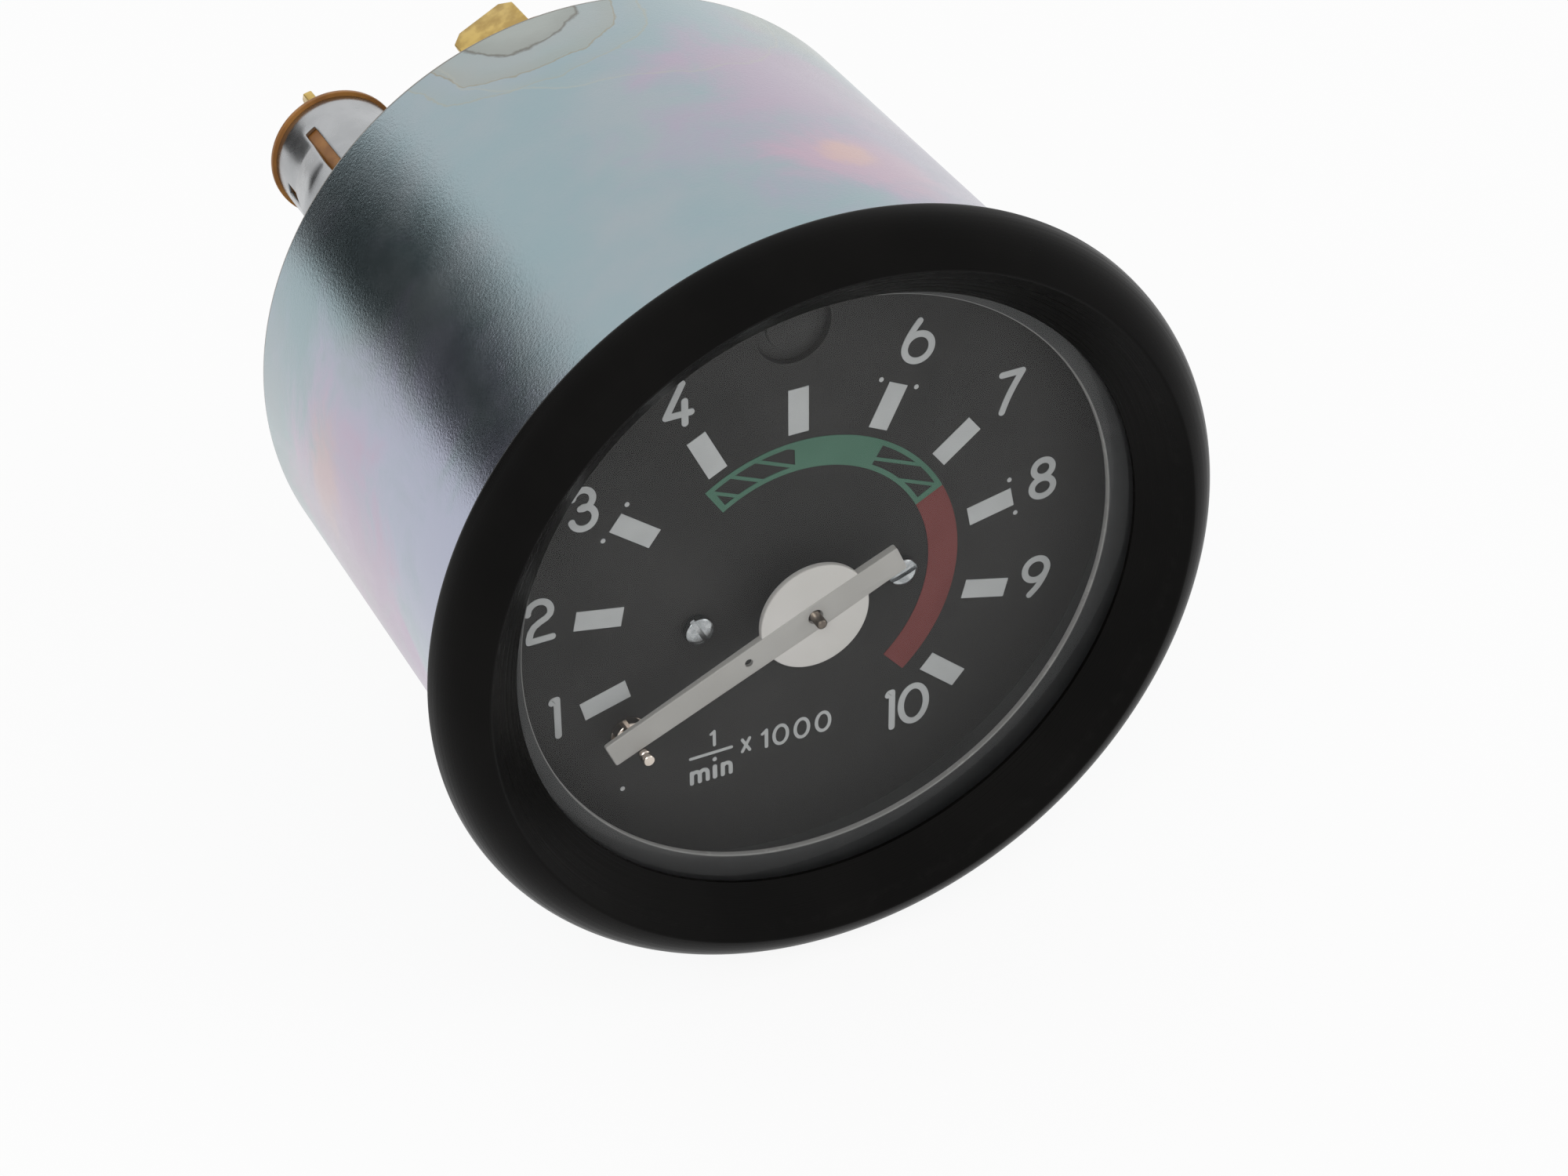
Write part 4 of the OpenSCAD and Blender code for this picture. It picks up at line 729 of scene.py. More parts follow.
# %% Pieces round the glass
RUBBER_IN_R, RUBBER_SEAT_R, RUBBER_OUT_R, RUBBER_UNDER = WINDOW_R + 0.25, 29.1, 32.0, 0.75
rubber_arc = arc(DOME_AT, DOME_R - RUBBER_UNDER, 40,
                 cone_meets(DOME_R - RUBBER_UNDER, RUBBER_UNDER), 10)
rubber_outline = ([(RUBBER_IN_R, GLASS_FRONT), (RUBBER_SEAT_R, GLASS_FRONT),
                   (RUBBER_SEAT_R, FLANGE_FRONT), (RUBBER_OUT_R, FLANGE_FRONT)]
                  + rubber_arc + [(RUBBER_IN_R, LIP_REAR - 0.02)])
turned("gasket_ring", eased(rubber_outline, 0.03, steps=2), "black_rubber",
       stands_for=["bezel_gasket"])
turned("glass_pane", eased(ring_section(0, GLASS_R, GLASS_REAR, GLASS_FRONT), 0.2),
       "clear_glass", stands_for=["front_glass"])
RING_REAR, RING_FRONT = -1.15, -0.56
turned("spacer_ring", eased(ring_section(RING_IN_R, GLASS_R, RING_REAR, RING_FRONT), 0.14),
       "grey_ring", steps=256, stands_for=["glass_ring"])
DIAL_FRONT, DIAL_REAR, DIAL_R = -5.15, -5.95, 28.95
DISTANCE_IN_R, DISTANCE_FRONT = 28.2, -1.16
turned("dial_sleeve", eased(ring_section(DISTANCE_IN_R, DIAL_R, DIAL_FRONT, DISTANCE_FRONT),
                            0.1), "black_sleeve", stands_for=["distance_sleeve"])

# %% [markdown]
# ## Lettering on the dial
# The numerals are drawn like a sign-writer's: each is a few strokes of one width with round
# ends. A stroke is a path of points; the code gives it a body, two caps and the thickness of
# the ink. Strokes that cross lie a hair above one another, so no two faces share a plane.

# %% Ink strokes
INK = 0.05


def stroke(path, width, lift=0.0, ring=False):
    """A flat slab of ink along a path of dial points about the pointer's axis."""
    way = np.array(path, float)
    if ring:
        along = np.roll(way, -1, 0) - np.roll(way, 1, 0)
    else:
        along = np.gradient(way, axis=0)
    along /= np.linalg.norm(along, axis=1)[:, None]
    side = np.c_[-along[:, 1], along[:, 0]] * width / 2
    left, right = way + side, way - side
    if ring:
        loops = [left, right]
    else:
        caps = []
        for end, start in ((way[-1], -side[-1]), (way[0], side[0])):
            first = math.degrees(math.atan2(start[1], start[0]))
            caps.append(np.array(arc(end, width / 2, first, first + 180, 10))[1:-1])
        loops = [np.concatenate([right, caps[0], left[::-1], caps[1]])]
    low, high = DIAL_FRONT, DIAL_FRONT + INK + lift
    points, faces = [], []
    for loop in loops:
        base, n = len(points), len(loop)
        points += [(x, y + POINTER_AXIS[1], low) for x, y in loop]
        points += [(x, y + POINTER_AXIS[1], high) for x, y in loop]
        faces += [(base + i, base + (i + 1) % n, base + n + (i + 1) % n, base + n + i)
                  for i in range(n)]
    count = len(way)
    if ring:
        for shift in (0, count):
            faces += [(i + shift, (i + 1) % count + shift, 2 * count + (i + 1) % count + shift,
                       2 * count + i + shift) for i in range(count)]
    else:
        n = len(loops[0])
        tip = len(caps[0])
        for shift in (0, n):
            faces += [(i + shift, i + 1 + shift, 2 * count + tip - 2 - i + shift,
                       2 * count + tip - 1 - i + shift) for i in range(count - 1)]
            faces.append(tuple(count - 1 + i + shift for i in range(tip + 2)))
            faces.append(tuple([2 * count + tip - 1 + i + shift for i in range(tip + 1)]
                               + [shift]))
    return points, faces


def bow(centre, radius_x, radius_y, first, last, steps=28):
    """Part of an ellipse between two angles in degrees."""
    turns = np.radians(np.linspace(first, last, steps + 1))
    return [(centre[0] + radius_x * math.cos(t), centre[1] + radius_y * math.sin(t))
            for t in turns]


def oval(x, y, radius_x, radius_y):
    """A closed ellipse, its last point left off because the ring closes itself."""
    return bow((x, y), radius_x, radius_y, 0, 360, 40)[:-1]


def curved(*through, steps=8):
    """A smooth path through points, by Catmull-Rom pieces."""
    p = [np.array(q, float) for q in (through[0],) + through + (through[-1],)]
    path = []
    for a, b, c, d in zip(p, p[1:], p[2:], p[3:]):
        for t in np.linspace(0, 1, steps, endpoint=False):
            path.append(tuple(0.5 * (2 * b + (c - a) * t + (2 * a - 5 * b + 4 * c - d) * t * t
                                     + (3 * b - a - 3 * c + d) * t ** 3)))
    return path + [tuple(p[-1])]


print("a stroke of 3 points has", len(stroke([(0, 0), (1, 0), (2, 0)], 0.5)[1]), "faces")

# %% Numerals 1 to 10
NUMERAL_W = 0.57
numeral_paths = {
    "1": [[(-21.0, -3.1), (-21.0, -6.6)], curved((-21.0, -3.1), (-21.3, -3.12), (-21.42, -3.3))],
    "2": [bow((-22.06, 5.66), 0.96, 0.96, 178, -8) + [(-21.2, 5.25), (-21.5, 4.97), (-22.05, 4.72),
          (-22.55, 4.4), (-22.85, 3.95), (-23.0, 3.4), (-23.0, 3.08)],
          [(-23.0, 3.08), (-21.08, 3.08)]],
    "3": [bow((-18.1, 14.82), 0.84, 0.84, 165, -90), bow((-18.1, 13.15), 0.97, 0.97, 90, -170),
          [(-18.1, 14.03), (-18.3, 14.03)]],
    "4": [[(-11.1, 20.03), (-9.0, 20.03)], [(-9.52, 21.1), (-9.52, 19.15)],
          [(-11.1, 20.03), (-9.7, 22.7)]],
    "6": [curved((10.4, 22.72), (9.86, 22.05), (9.36, 21.25), (9.1, 20.55))],
    "7": [[(17.85, 15.66), (19.68, 15.66)],
          curved((19.68, 15.66), (18.95, 14.47), (18.35, 13.3), (17.92, 12.2))],
    "9": [curved((21.2, -6.6), (21.95, -5.9), (22.5, -5.05), (22.76, -4.35))],
    "10": [[(8.53, -12.4), (8.53, -15.97)],
           curved((8.53, -12.4), (8.28, -12.42), (8.15, -12.6))],
}
numeral_rings = {"6": [(10.28, 20.38, 1.195, 1.195)],
                 "8": [(21.97, 5.71, 0.86, 0.8), (21.97, 3.9, 0.99, 0.87)],
                 "9": [(21.73, -4.17, 1.05, 1.05)], "10": [(10.53, -14.17, 1.175, 1.78)]}
inked = []
for label in sorted(set(numeral_paths) | set(numeral_rings), key=int):
    for i, path in enumerate(numeral_paths.get(label, [])):
        inked.append(stroke(path, NUMERAL_W, lift=0.003 * i))
    for i, ring in enumerate(numeral_rings.get(label, [])):
        inked.append(stroke(oval(*ring), NUMERAL_W, lift=0.003 * (i + 3), ring=True))
settle(piece("numerals", *joined(*inked)), "mark_grey", sharp=25)
print("numerals from", len(inked), "strokes")

# %% Unit under the pointer
STEM_W = 0.36
unit_strokes = [
    ([(-7.61, -10.86), (-7.61, -12.2)], 0.27), ([(-7.61, -10.86), (-7.9, -11.05)], 0.24),
    ([(-9.75, -12.95), (-6.1, -12.95)], 0.26), ([(-7.61, -13.66), (-7.61, -13.68)], 0.38),
    ([(-7.61, -14.44), (-7.61, -15.46)], 0.4),
    ([(-9.67, -14.42), (-9.67, -15.48)], STEM_W),
    (bow((-9.315, -14.78), 0.355, 0.36, 180, 0, 12) + [(-8.96, -15.48)], STEM_W),
    (bow((-8.61, -14.78), 0.35, 0.36, 180, 0, 12) + [(-8.26, -15.48)], STEM_W),
    ([(-6.91, -14.42), (-6.91, -15.48)], STEM_W),
    (bow((-6.555, -14.78), 0.355, 0.36, 180, 0, 12) + [(-6.2, -15.48)], STEM_W),
    ([(-5.13, -12.58), (-4.47, -13.77)], 0.27), ([(-4.47, -12.58), (-5.13, -13.77)], 0.27),
    ([(-2.96, -12.35), (-2.96, -13.98)], 0.31), ([(-2.96, -12.35), (-3.32, -12.62)], 0.26),
]
inked = [stroke(path, width, lift=0.002 * (i % 3)) for i, (path, width) in enumerate(unit_strokes)]
inked += [stroke(oval(x, -13.2, 0.61, 0.92), 0.29, ring=True) for x in (-1.67, 0.25, 2.18)]
settle(piece("unit_lettering", *joined(*inked)), "mark_grey", sharp=25)
print("unit lettering from", len(inked), "strokes")

# %% [markdown]
# ## Indicator window
# Near the top of the dial a dark lens sits in a hole: a flat flange behind the dial, a step,
# and a slightly domed middle. The aluminium tube behind it leads the indicator lamp's light.

# %% Indicator lens and light tube
WINDOW_AT = (-0.394, 21.181)
FLANGE_OUT_R, FLANGE_T, LENS_R, STEP_Z, MIDDLE_R = 3.9, 0.7, 3.15, -5.65, 2.1
BULGE_R, BULGE_Z = 8.945, -14.145
lens_outline = ([(0, DIAL_REAR - FLANGE_T), (FLANGE_OUT_R, DIAL_REAR - FLANGE_T),
                 (FLANGE_OUT_R, DIAL_REAR), (LENS_R, DIAL_REAR), (LENS_R, STEP_Z),
                 (MIDDLE_R, STEP_Z)] + arc((0, BULGE_Z), BULGE_R, 76.4, 90, 8))
turned("indicator_window", eased(lens_outline, 0.1, steps=2), "lens_dark", centre=WINDOW_AT,
       steps=96, stands_for=["indicator_lens"])
TUBE_IN_R, TUBE_OUT_R, NECK_WALL = 5.75, 6.35, 0.6
TUBE_REAR, TUBE_WAIST, NECK_REAR, NECK_FRONT = -43.4, -25.4, -22.4, -6.0
window_to_lamp = math.hypot(0.5, 0.7)
neck_in = FLANGE_OUT_R + window_to_lamp + 0.1
tube_outline = [(TUBE_IN_R, TUBE_REAR), (TUBE_OUT_R, TUBE_REAR), (TUBE_OUT_R, TUBE_WAIST),
                (neck_in + NECK_WALL, NECK_REAR), (neck_in + NECK_WALL, NECK_FRONT),
                (neck_in, NECK_FRONT), (neck_in, NECK_REAR), (TUBE_IN_R, TUBE_WAIST)]
turned("lamp_light_tube", eased(tube_outline, 0.12), "tube_alu", centre=INDICATOR_LAMP, steps=96,
       stands_for=["light_tube"])
print("window at", WINDOW_AT)

# %% [markdown]
# ## One tree for everything that stands in a ring
# Dial screws, the rear screws, the teeth of the zero stop, studs, washers and nuts all repeat
# round an axis. A Geometry Nodes tree takes one piece, drawn round the frame's Y axis, and
# makes its copies: points, moved onto the circle by their index, carry instances that turn
# with them. The tree ends in Realize Instances and Set Material.

# %% The ring tree
def geometry_tree(name, inputs):
    """An empty Geometry Nodes tree with a geometry in and out and named inputs."""
    tree = bpy.data.node_groups.new(name, "GeometryNodeTree")
    tree.interface.new_socket("Geometry", in_out="INPUT", socket_type="NodeSocketGeometry")
    for label, kind, value in inputs:
        socket = tree.interface.new_socket(label, in_out="INPUT", socket_type="NodeSocket" + kind)
        if value is not None:
            socket.default_value = value
    tree.interface.new_socket("Geometry", in_out="OUTPUT", socket_type="NodeSocketGeometry")
    return tree, tree.nodes.new("NodeGroupInput").outputs, tree.nodes.new("NodeGroupOutput").inputs


def geo(tree, kind, inputs=None, **settings):
    """A Geometry Nodes node, filled as add fills a shader node."""
    return add(tree, kind, inputs, family="Geometry", **settings)


def coated(tree, geometry, given, out):
    """The end of every tree: real copies with the finish on."""
    real = geo(tree, "RealizeInstances", {"Geometry": geometry})
    last = geo(tree, "SetMaterial", {"Geometry": real.outputs[0], "Material": given["Finish"]})
    tree.links.new(last.outputs[0], out["Geometry"])


ring_tree, given, out = geometry_tree("ring_of_copies", [
    ("Count", "Int", 3), ("Radius", "Float", 0.01), ("First angle", "Float", 0.0),
    ("Step angle", "Float", 120.0), ("First turn", "Float", 0.0), ("Step turn", "Float", 0.0),
    ("Centre", "Vector", (0, 0, 0)), ("Finish", "Material", None)])
index = geo(ring_tree, "InputIndex").outputs[0]
around = maths(ring_tree, "RADIANS", maths(
    ring_tree, "ADD", given["First angle"], maths(ring_tree, "MULTIPLY", index,
                                                  given["Step angle"])))
own = maths(ring_tree, "RADIANS", maths(
    ring_tree, "ADD", given["First turn"], maths(ring_tree, "MULTIPLY", index,
                                                 given["Step turn"])))
spot = add(ring_tree, "CombineXYZ", {
    "X": maths(ring_tree, "MULTIPLY", maths(ring_tree, "COSINE", around), given["Radius"]),
    "Z": maths(ring_tree, "MULTIPLY", maths(ring_tree, "SINE", around), given["Radius"])})
spot = add(ring_tree, "VectorMath", {0: spot.outputs[0], 1: given["Centre"]}, operation="ADD")
points = geo(ring_tree, "Points", {"Count": given["Count"]})
moved = geo(ring_tree, "SetPosition", {"Geometry": points.outputs[0],
                                       "Position": spot.outputs[0]})
facing = add(ring_tree, "CombineXYZ", {"Y": maths(ring_tree, "MULTIPLY", maths(
    ring_tree, "ADD", around, own), -1.0)})
copies = geo(ring_tree, "InstanceOnPoints", {"Points": moved.outputs[0],
                                             "Instance": given["Geometry"],
                                             "Rotation": facing.outputs[0]})
coated(ring_tree, copies.outputs[0], given, out)


def kept(obj):
    """The object with its modifiers applied."""
    shown = obj.evaluated_get(bpy.context.evaluated_depsgraph_get())
    mesh = bpy.data.meshes.new_from_object(shown)
    obj.modifiers.clear()
    obj.data = mesh
    return obj


def grown(obj, tree, **values):
    """Run a tree on an object, keep its result as a plain mesh and drop the modifier."""
    step = obj.modifiers.new(tree.name, "NODES")
    step.node_group = tree
    for item in tree.interface.items_tree:
        label = item.name.replace(" ", "_")
        if item.item_type == "SOCKET" and item.in_out == "INPUT" and label in values:
            step[item.identifier] = values[label]
    return kept(obj)


def in_ring(obj, finish, centre, radius, count, first=0.0, step=0.0, turn=0.0, turn_step=0.0,
            **how):
    """Copies of a piece drawn round the origin, on a circle about a drawing point, finished."""
    grown(obj, ring_tree, Count=count, Radius=radius * MM, First_angle=float(first),
          Step_angle=float(step), First_turn=float(turn), Step_turn=float(turn_step),
          Centre=(centre[0] * MM, 0.0, centre[1] * MM), Finish=FINISHES[finish])
    return settle(obj, finish, **how)


print("ring_of_copies has", len(ring_tree.nodes), "nodes")

# %% [markdown]
# ## Slotted screws
# A slotted cheese-head screw is a turned head with a shank; the slot is then sawn across it.
# The Boolean modifier is that saw. Its result is kept as a mesh before the copies are made.

# %% Cutting and easing helpers
def cut_with(obj, tool, operation="DIFFERENCE"):
    """Cut obj with a tool piece, which is then thrown away."""
    bpy.context.view_layer.update()
    step = obj.modifiers.new("cut", "BOOLEAN")
    step.operation, step.object, step.solver = operation, tool, "EXACT"
    kept(obj)
    bpy.data.objects.remove(tool)
    return obj


def broken_edges(obj, width, steps, angle):
    """Break the edges of a piece that turn by more than an angle, by a small bevel."""
    bm = bmesh.new()
    bm.from_mesh(obj.data)
    bmesh.ops.remove_doubles(bm, verts=bm.verts, dist=1e-7)
    bmesh.ops.dissolve_limit(bm, angle_limit=math.radians(1), verts=bm.verts, edges=bm.edges)
    bmesh.ops.recalc_face_normals(bm, faces=bm.faces)
    bm.to_mesh(obj.data)
    bm.free()
    step = obj.modifiers.new("edges", "BEVEL")
    step.width, step.segments = width * MM, steps
    step.limit_method, step.angle_limit = "ANGLE", math.radians(angle)
    return kept(obj)


def block(name, low, high):
    """A plain block between two drawing corners, used as a cutting tool or a blank."""
    (x0, y0, z0), (x1, y1, z1) = low, high
    points = [(x, y, z) for x in (x0, x1) for y in (y0, y1) for z in (z0, z1)]
    faces = [(0, 1, 3, 2), (4, 6, 7, 5), (0, 4, 5, 1), (2, 3, 7, 6), (0, 2, 6, 4), (1, 5, 7, 3)]
    return piece(name, points, faces)


def slotted_screw(name, head_d, head_h, shank_d, shank_len, seat, up=1):
    """A cheese-head screw on the origin's axis, its head on z = seat, standing up or down."""
    r, top, step = head_d / 2, seat + up * head_h, up * 0.16 * head_h
    outline = [(0, seat - up * shank_len), (shank_d / 2, seat - up * shank_len),
               (shank_d / 2, seat), (r, seat), (r, top - step), (r * 0.72, top - step * 0.15),
               (0, top)]
    screw = piece(name, *revolved(eased(outline, 0.12 * head_h, steps=3), steps=72))
    slot_w, deep = 0.16 * head_d, seat + up * 0.55 * head_h
    low, high = sorted((deep, top + up))
    cut_with(screw, block("saw", (-head_d, -slot_w / 2, low), (head_d, slot_w / 2, high)))
    return screw


DIAL_SCREW_CIRCLE, REAR_SCREW_CIRCLE = 9.0, 12.5
dial_screw = slotted_screw("dial_screw_set", head_d=2.5, head_h=1.0, shank_d=1.6, shank_len=3.6,
                           seat=DIAL_FRONT)
# The dial screws wear the darker copy of the zinc, painted shade.
in_ring(dial_screw, "dial_screw_zinc", POINTER_AXIS, DIAL_SCREW_CIRCLE, 2, step=180, turn=20,
        turn_step=-82, slot="zinc_screw", stands_for=["dial_screws"])
print("dial screws:", len(dial_screw.data.polygons), "faces")

# %% [markdown]
# ## Zero stop
# The pointer rests against a pin that stands in a little castellated collar, bright nickel,
# riveted through the dial. The floor and the pin are turned; the six teeth are one ring sector,
# copied by the same tree.

# %% Zero stop
REST_ANGLE, HUB_W, TIP_W, TAIL_W, TIP_AT, TAIL_AT = 113.4, 2.6, 2.31, 2.38, 19.5, -8.3
STOP_R, STOP_PIN_R, STOP_GAP = 17.25, 0.42, 0.03
arm_half_there = (HUB_W + (TIP_W - HUB_W) * STOP_R / TIP_AT) / 2
STOP_ANGLE = -REST_ANGLE - math.degrees(
    math.asin((arm_half_there + STOP_PIN_R + STOP_GAP) / STOP_R))
stop_at = (POINTER_AXIS[0] + STOP_R * math.sin(math.radians(STOP_ANGLE)),
           POINTER_AXIS[1] + STOP_R * math.cos(math.radians(STOP_ANGLE)))
RIVET_R, RIVET_REAR, SHANK_R = 1.2, -6.45, 0.8
COLLAR_R, COLLAR_IN_R, COLLAR_FLOOR, TEETH_FROM, TEETH_TO = 1.5, 0.95, -4.93, -4.96, -4.2
pin_head = [(0.5, -2.0), (0.5, -1.7), (0.4, -1.6), (0.4, -1.45), (0.5, -1.35), (0.5, -1.05),
            (STOP_PIN_R, -0.95), (0, -0.95)]
stop_core = revolved(
    eased([(0, RIVET_REAR), (RIVET_R, RIVET_REAR), (RIVET_R, DIAL_REAR), (SHANK_R, DIAL_REAR),
           (SHANK_R, DIAL_FRONT), (COLLAR_R, DIAL_FRONT), (COLLAR_R, COLLAR_FLOOR),
           (STOP_PIN_R, COLLAR_FLOOR), (STOP_PIN_R, -2.05)] + pin_head, 0.03, steps=2),
    stop_at, steps=64)
settle(piece("zero_stop_pin", *stop_core), "stop_nickel", stands_for=["zero_stop"])
tooth_section = eased(ring_section(COLLAR_IN_R, COLLAR_R, TEETH_FROM, TEETH_TO), 0.1, steps=3)
tooth = piece("zero_stop_teeth", *revolved(tooth_section, steps=14, first=-19, sweep=38))
in_ring(tooth, "stop_nickel", stop_at, 0.0, 6, step=60, turn=20)
print("zero stop at", [round(c, 2) for c in stop_at])

# %% [markdown]
# ## The pointer
# The pointer is pressed from thin sheet: a U-section arm with a short tail, on a shallow cap
# with a rolled rim and a boss that grips the spindle. The arm is drawn straight up as a stack
# of loops, each a little further in, and turned to its rest over the zero stop.

# %% Pointer arm
REST_TURN = math.radians(REST_ANGLE)
ARM_FRONT, ARM_DEEP, ARM_SHEET, WIDEST_AT = -2.1, 0.7, 0.3, 0.02
BORE_R, SIGHT_HOLE_R, SIGHT_HOLE_AT = 0.66, 0.35, 6.4


def at_rest(points):
    """Points drawn with the pointer straight up, as they lie with the pointer at rest."""
    c, s = math.cos(REST_TURN), math.sin(REST_TURN)
    return [(x * c - y * s, x * s + y * c + POINTER_AXIS[1], z) for x, y, z in points]


def arm_loop(inset, down):
    """The arm's outline in plan, moved in by an inset; its flanges get shallow to the tip."""
    half_tail, half_hub, half_tip = (w / 2 - inset for w in (TAIL_W, HUB_W, TIP_W))
    tail, tip = TAIL_AT + inset, TIP_AT - inset
    corners = [(half_tail, tail), (half_hub, WIDEST_AT), (half_tip, tip),
               (-half_tip, tip), (-half_hub, WIDEST_AT), (-half_tail, tail)]
    loop = []
    for x, y in eased(corners, max(0.05, 0.22 - inset), steps=3, keep=(1, 4)):
        flange = max(0.0, down - ARM_SHEET) * (1 - 0.85 * min(max(y / TIP_AT, 0), 1))
        loop.append((x, y, ARM_FRONT - min(down, ARM_SHEET) - flange))
    return loop


def lofted(loops):
    """Points and faces of a closed body through loops of equal length, flat at both ends."""
    n = len(loops[0])
    points = [p for loop in loops for p in loop]
    faces = [(k * n + i, k * n + (i + 1) % n, (k + 1) * n + (i + 1) % n, (k + 1) * n + i)
             for k in range(len(loops) - 1) for i in range(n)]
    return points, faces + [tuple(range(n)), tuple(range((len(loops) - 1) * n, len(loops) * n))]


arm_points, arm_faces = lofted([arm_loop(inset, down) for inset, down in (
    (0.09, 0.0), (0.04, 0.015), (0.01, 0.045), (0.0, 0.09), (0.0, ARM_DEEP - 0.04),
    (0.04, ARM_DEEP), (ARM_SHEET - 0.03, ARM_DEEP), (ARM_SHEET, ARM_DEEP - 0.04),
    (ARM_SHEET, ARM_SHEET))])
arm = piece("pointer_arm", at_rest(arm_points), arm_faces)
for radius, up_arm in ((BORE_R, 0.0), (SIGHT_HOLE_R, SIGHT_HOLE_AT)):
    drill = revolved(ring_section(0, radius, -4, -1.5), at_rest([(0, up_arm, 0)])[0][:2], steps=40)
    cut_with(arm, piece("drill", *drill))
settle(arm, "pointer_white", body="pointer_assembly", stands_for=["pointer"])
print("pointer arm:", len(arm.data.polygons), "faces")

# %% Pointer cap and spindle
HUB_R, HUB_FRONT, RIM_DEEP, BOSS_R, BOSS_REAR = 4.75, -2.15, 0.55, 1.35, -3.6
under_cap = HUB_FRONT - ARM_SHEET
hub_outline = [(BORE_R, HUB_FRONT), (HUB_R, HUB_FRONT), (HUB_R, HUB_FRONT - RIM_DEEP),
               (HUB_R - ARM_SHEET, HUB_FRONT - RIM_DEEP), (HUB_R - ARM_SHEET, under_cap),
               (BOSS_R, under_cap), (BOSS_R, BOSS_REAR), (BORE_R, BOSS_REAR)]
# The cap wears the lighter copy of the pointer's paint, a painted highlight.
turned("pointer_cap", eased(hub_outline, 0.13, steps=4), "cap_white", centre=POINTER_AXIS,
       steps=144, body="pointer_assembly", slot="pointer_white")


def smoothed(node, finish, body="instrument", sharp=35, change=None, slot=None):
    """A copy of a measured node, its doubles merged and its round faces shaded smooth."""
    copy = linked(node + "_smooth", NODES[node].data.copy())
    if change:
        change(copy.data)
    return settle(copy, finish, body=body, slot=slot, stands_for=[node], sharp=sharp)


# The spindle's tip is given a dark brown steel, darker than the other turned steel.
smoothed("pointer_spindle", "oiled_steel", body="pointer_assembly", slot="turned_steel")
print("pointer pieces ride on pointer_assembly")

# %% [markdown]
# ## Threads
# A thread is a ridge that runs along a helix. This tree draws the helix, lets the ridge run
# out thinner at both ends as a cut thread does, sweeps a four-sided profile along it and turns
# it from Blender's Z onto the frame's Y. The same tree cuts the drive nose and the studs.

# %% The thread tree
thread_tree, given, out = geometry_tree("thread_ridge", [
    ("Radius", "Float", 0.006), ("Ridge", "Float", 0.0005), ("Pitch", "Float", 0.001),
    ("Length", "Float", 0.009), ("Start", "Float", 0.047), ("Axis right", "Float", 0.0),
    ("Axis up", "Float", 0.0), ("Finish", "Material", None)])
rounds = maths(thread_tree, "DIVIDE", given["Length"], given["Pitch"])
helix = geo(thread_tree, "CurveSpiral", {"Resolution": 40, "Rotations": rounds,
                                         "Start Radius": given["Radius"],
                                         "End Radius": given["Radius"],
                                         "Height": given["Length"]})
upright = geo(thread_tree, "SetCurveNormal", {"Curve": helix.outputs[0]}, mode="Z_UP")
along = geo(thread_tree, "SplineParameter").outputs["Factor"]
to_end = maths(thread_tree, "MINIMUM", along, maths(thread_tree, "SUBTRACT", 1.0, along))
run_out = maths(thread_tree, "MAXIMUM", 0.04, maths(
    thread_tree, "MINIMUM", 1.0, maths(thread_tree, "MULTIPLY", to_end, rounds)))
profile = geo(thread_tree, "CurvePrimitiveQuadrilateral",
              {"Width": given["Pitch"], "Bottom Height": given["Ridge"],
               "Top Height": given["Ridge"]}, mode="KITE")
ridge = geo(thread_tree, "CurveToMesh", {"Curve": upright.outputs[0],
                                         "Profile Curve": profile.outputs[0], "Scale": run_out,
                                         "Fill Caps": True})
place = add(thread_tree, "CombineXYZ", {"X": given["Axis right"], "Y": given["Start"],
                                        "Z": given["Axis up"]})
laid = geo(thread_tree, "Transform", {"Geometry": ridge.outputs[0],
                                      "Translation": place.outputs[0],
                                      "Rotation": (-math.pi / 2, 0.0, 0.0)})
coated(thread_tree, laid.outputs[0], given, out)


def thread(name, finish, core_r, ridge_h, pitch, first_z, last_z, centre=(0, 0)):
    """A thread ridge on a core, between two drawing depths."""
    obj = linked(name, bpy.data.meshes.new(name))
    return grown(obj, thread_tree, Radius=core_r * MM, Ridge=ridge_h * MM, Pitch=pitch * MM,
                 Length=(first_z - last_z) * MM, Start=-first_z * MM,
                 Axis_right=centre[0] * MM, Axis_up=centre[1] * MM, Finish=FINISHES[finish])


def merged(obj, *others):
    """One object from several, the first one's name kept."""
    bm = bmesh.new()
    for each in (obj,) + others:
        bm.from_mesh(each.data)
    bm.to_mesh(obj.data)
    bm.free()
    for each in others:
        bpy.data.objects.remove(each)
    return obj


print("thread_ridge has", len(thread_tree.nodes), "nodes")

# %% [markdown]
# ## The drive nose
# The movement's body is a die casting whose threaded nose comes out through the rear plate and
# takes the union nut of the flexible shaft. The measured node is right but for the thread, so
# its nose is let in to the thread's root and the ridge is laid round it.

# %% Drive nose
NOSE_R, NOSE_ROOT, NOSE_PITCH, NOSE_FROM, NOSE_TO, OUTER_FROM = 6.0, 0.5, 1.0, -46.4, -56.4, 5.2


def let_in(mesh):
    """Move the outer wall of the nose in to the thread's root."""
    for v in mesh.vertices:
        x, z = v.co.x / MM - POINTER_AXIS[0], v.co.z / MM - POINTER_AXIS[1]
        r = math.hypot(x, z)
        if v.co.y / MM > -NOSE_FROM + 0.05 and OUTER_FROM < r < NOSE_R + 0.02:
            shrunk = (r - NOSE_ROOT) / r
            v.co.x, v.co.z = x * shrunk * MM, (z * shrunk + POINTER_AXIS[1]) * MM


smoothed("movement_body", "die_cast", change=let_in)
nose_thread = thread("nose_thread", "die_cast", NOSE_R - NOSE_ROOT, NOSE_ROOT, NOSE_PITCH,
                     NOSE_FROM - 0.7, NOSE_TO + 0.5, POINTER_AXIS)
settle(nose_thread, "die_cast", sharp=40)
print("nose thread:", len(nose_thread.data.polygons), "faces")

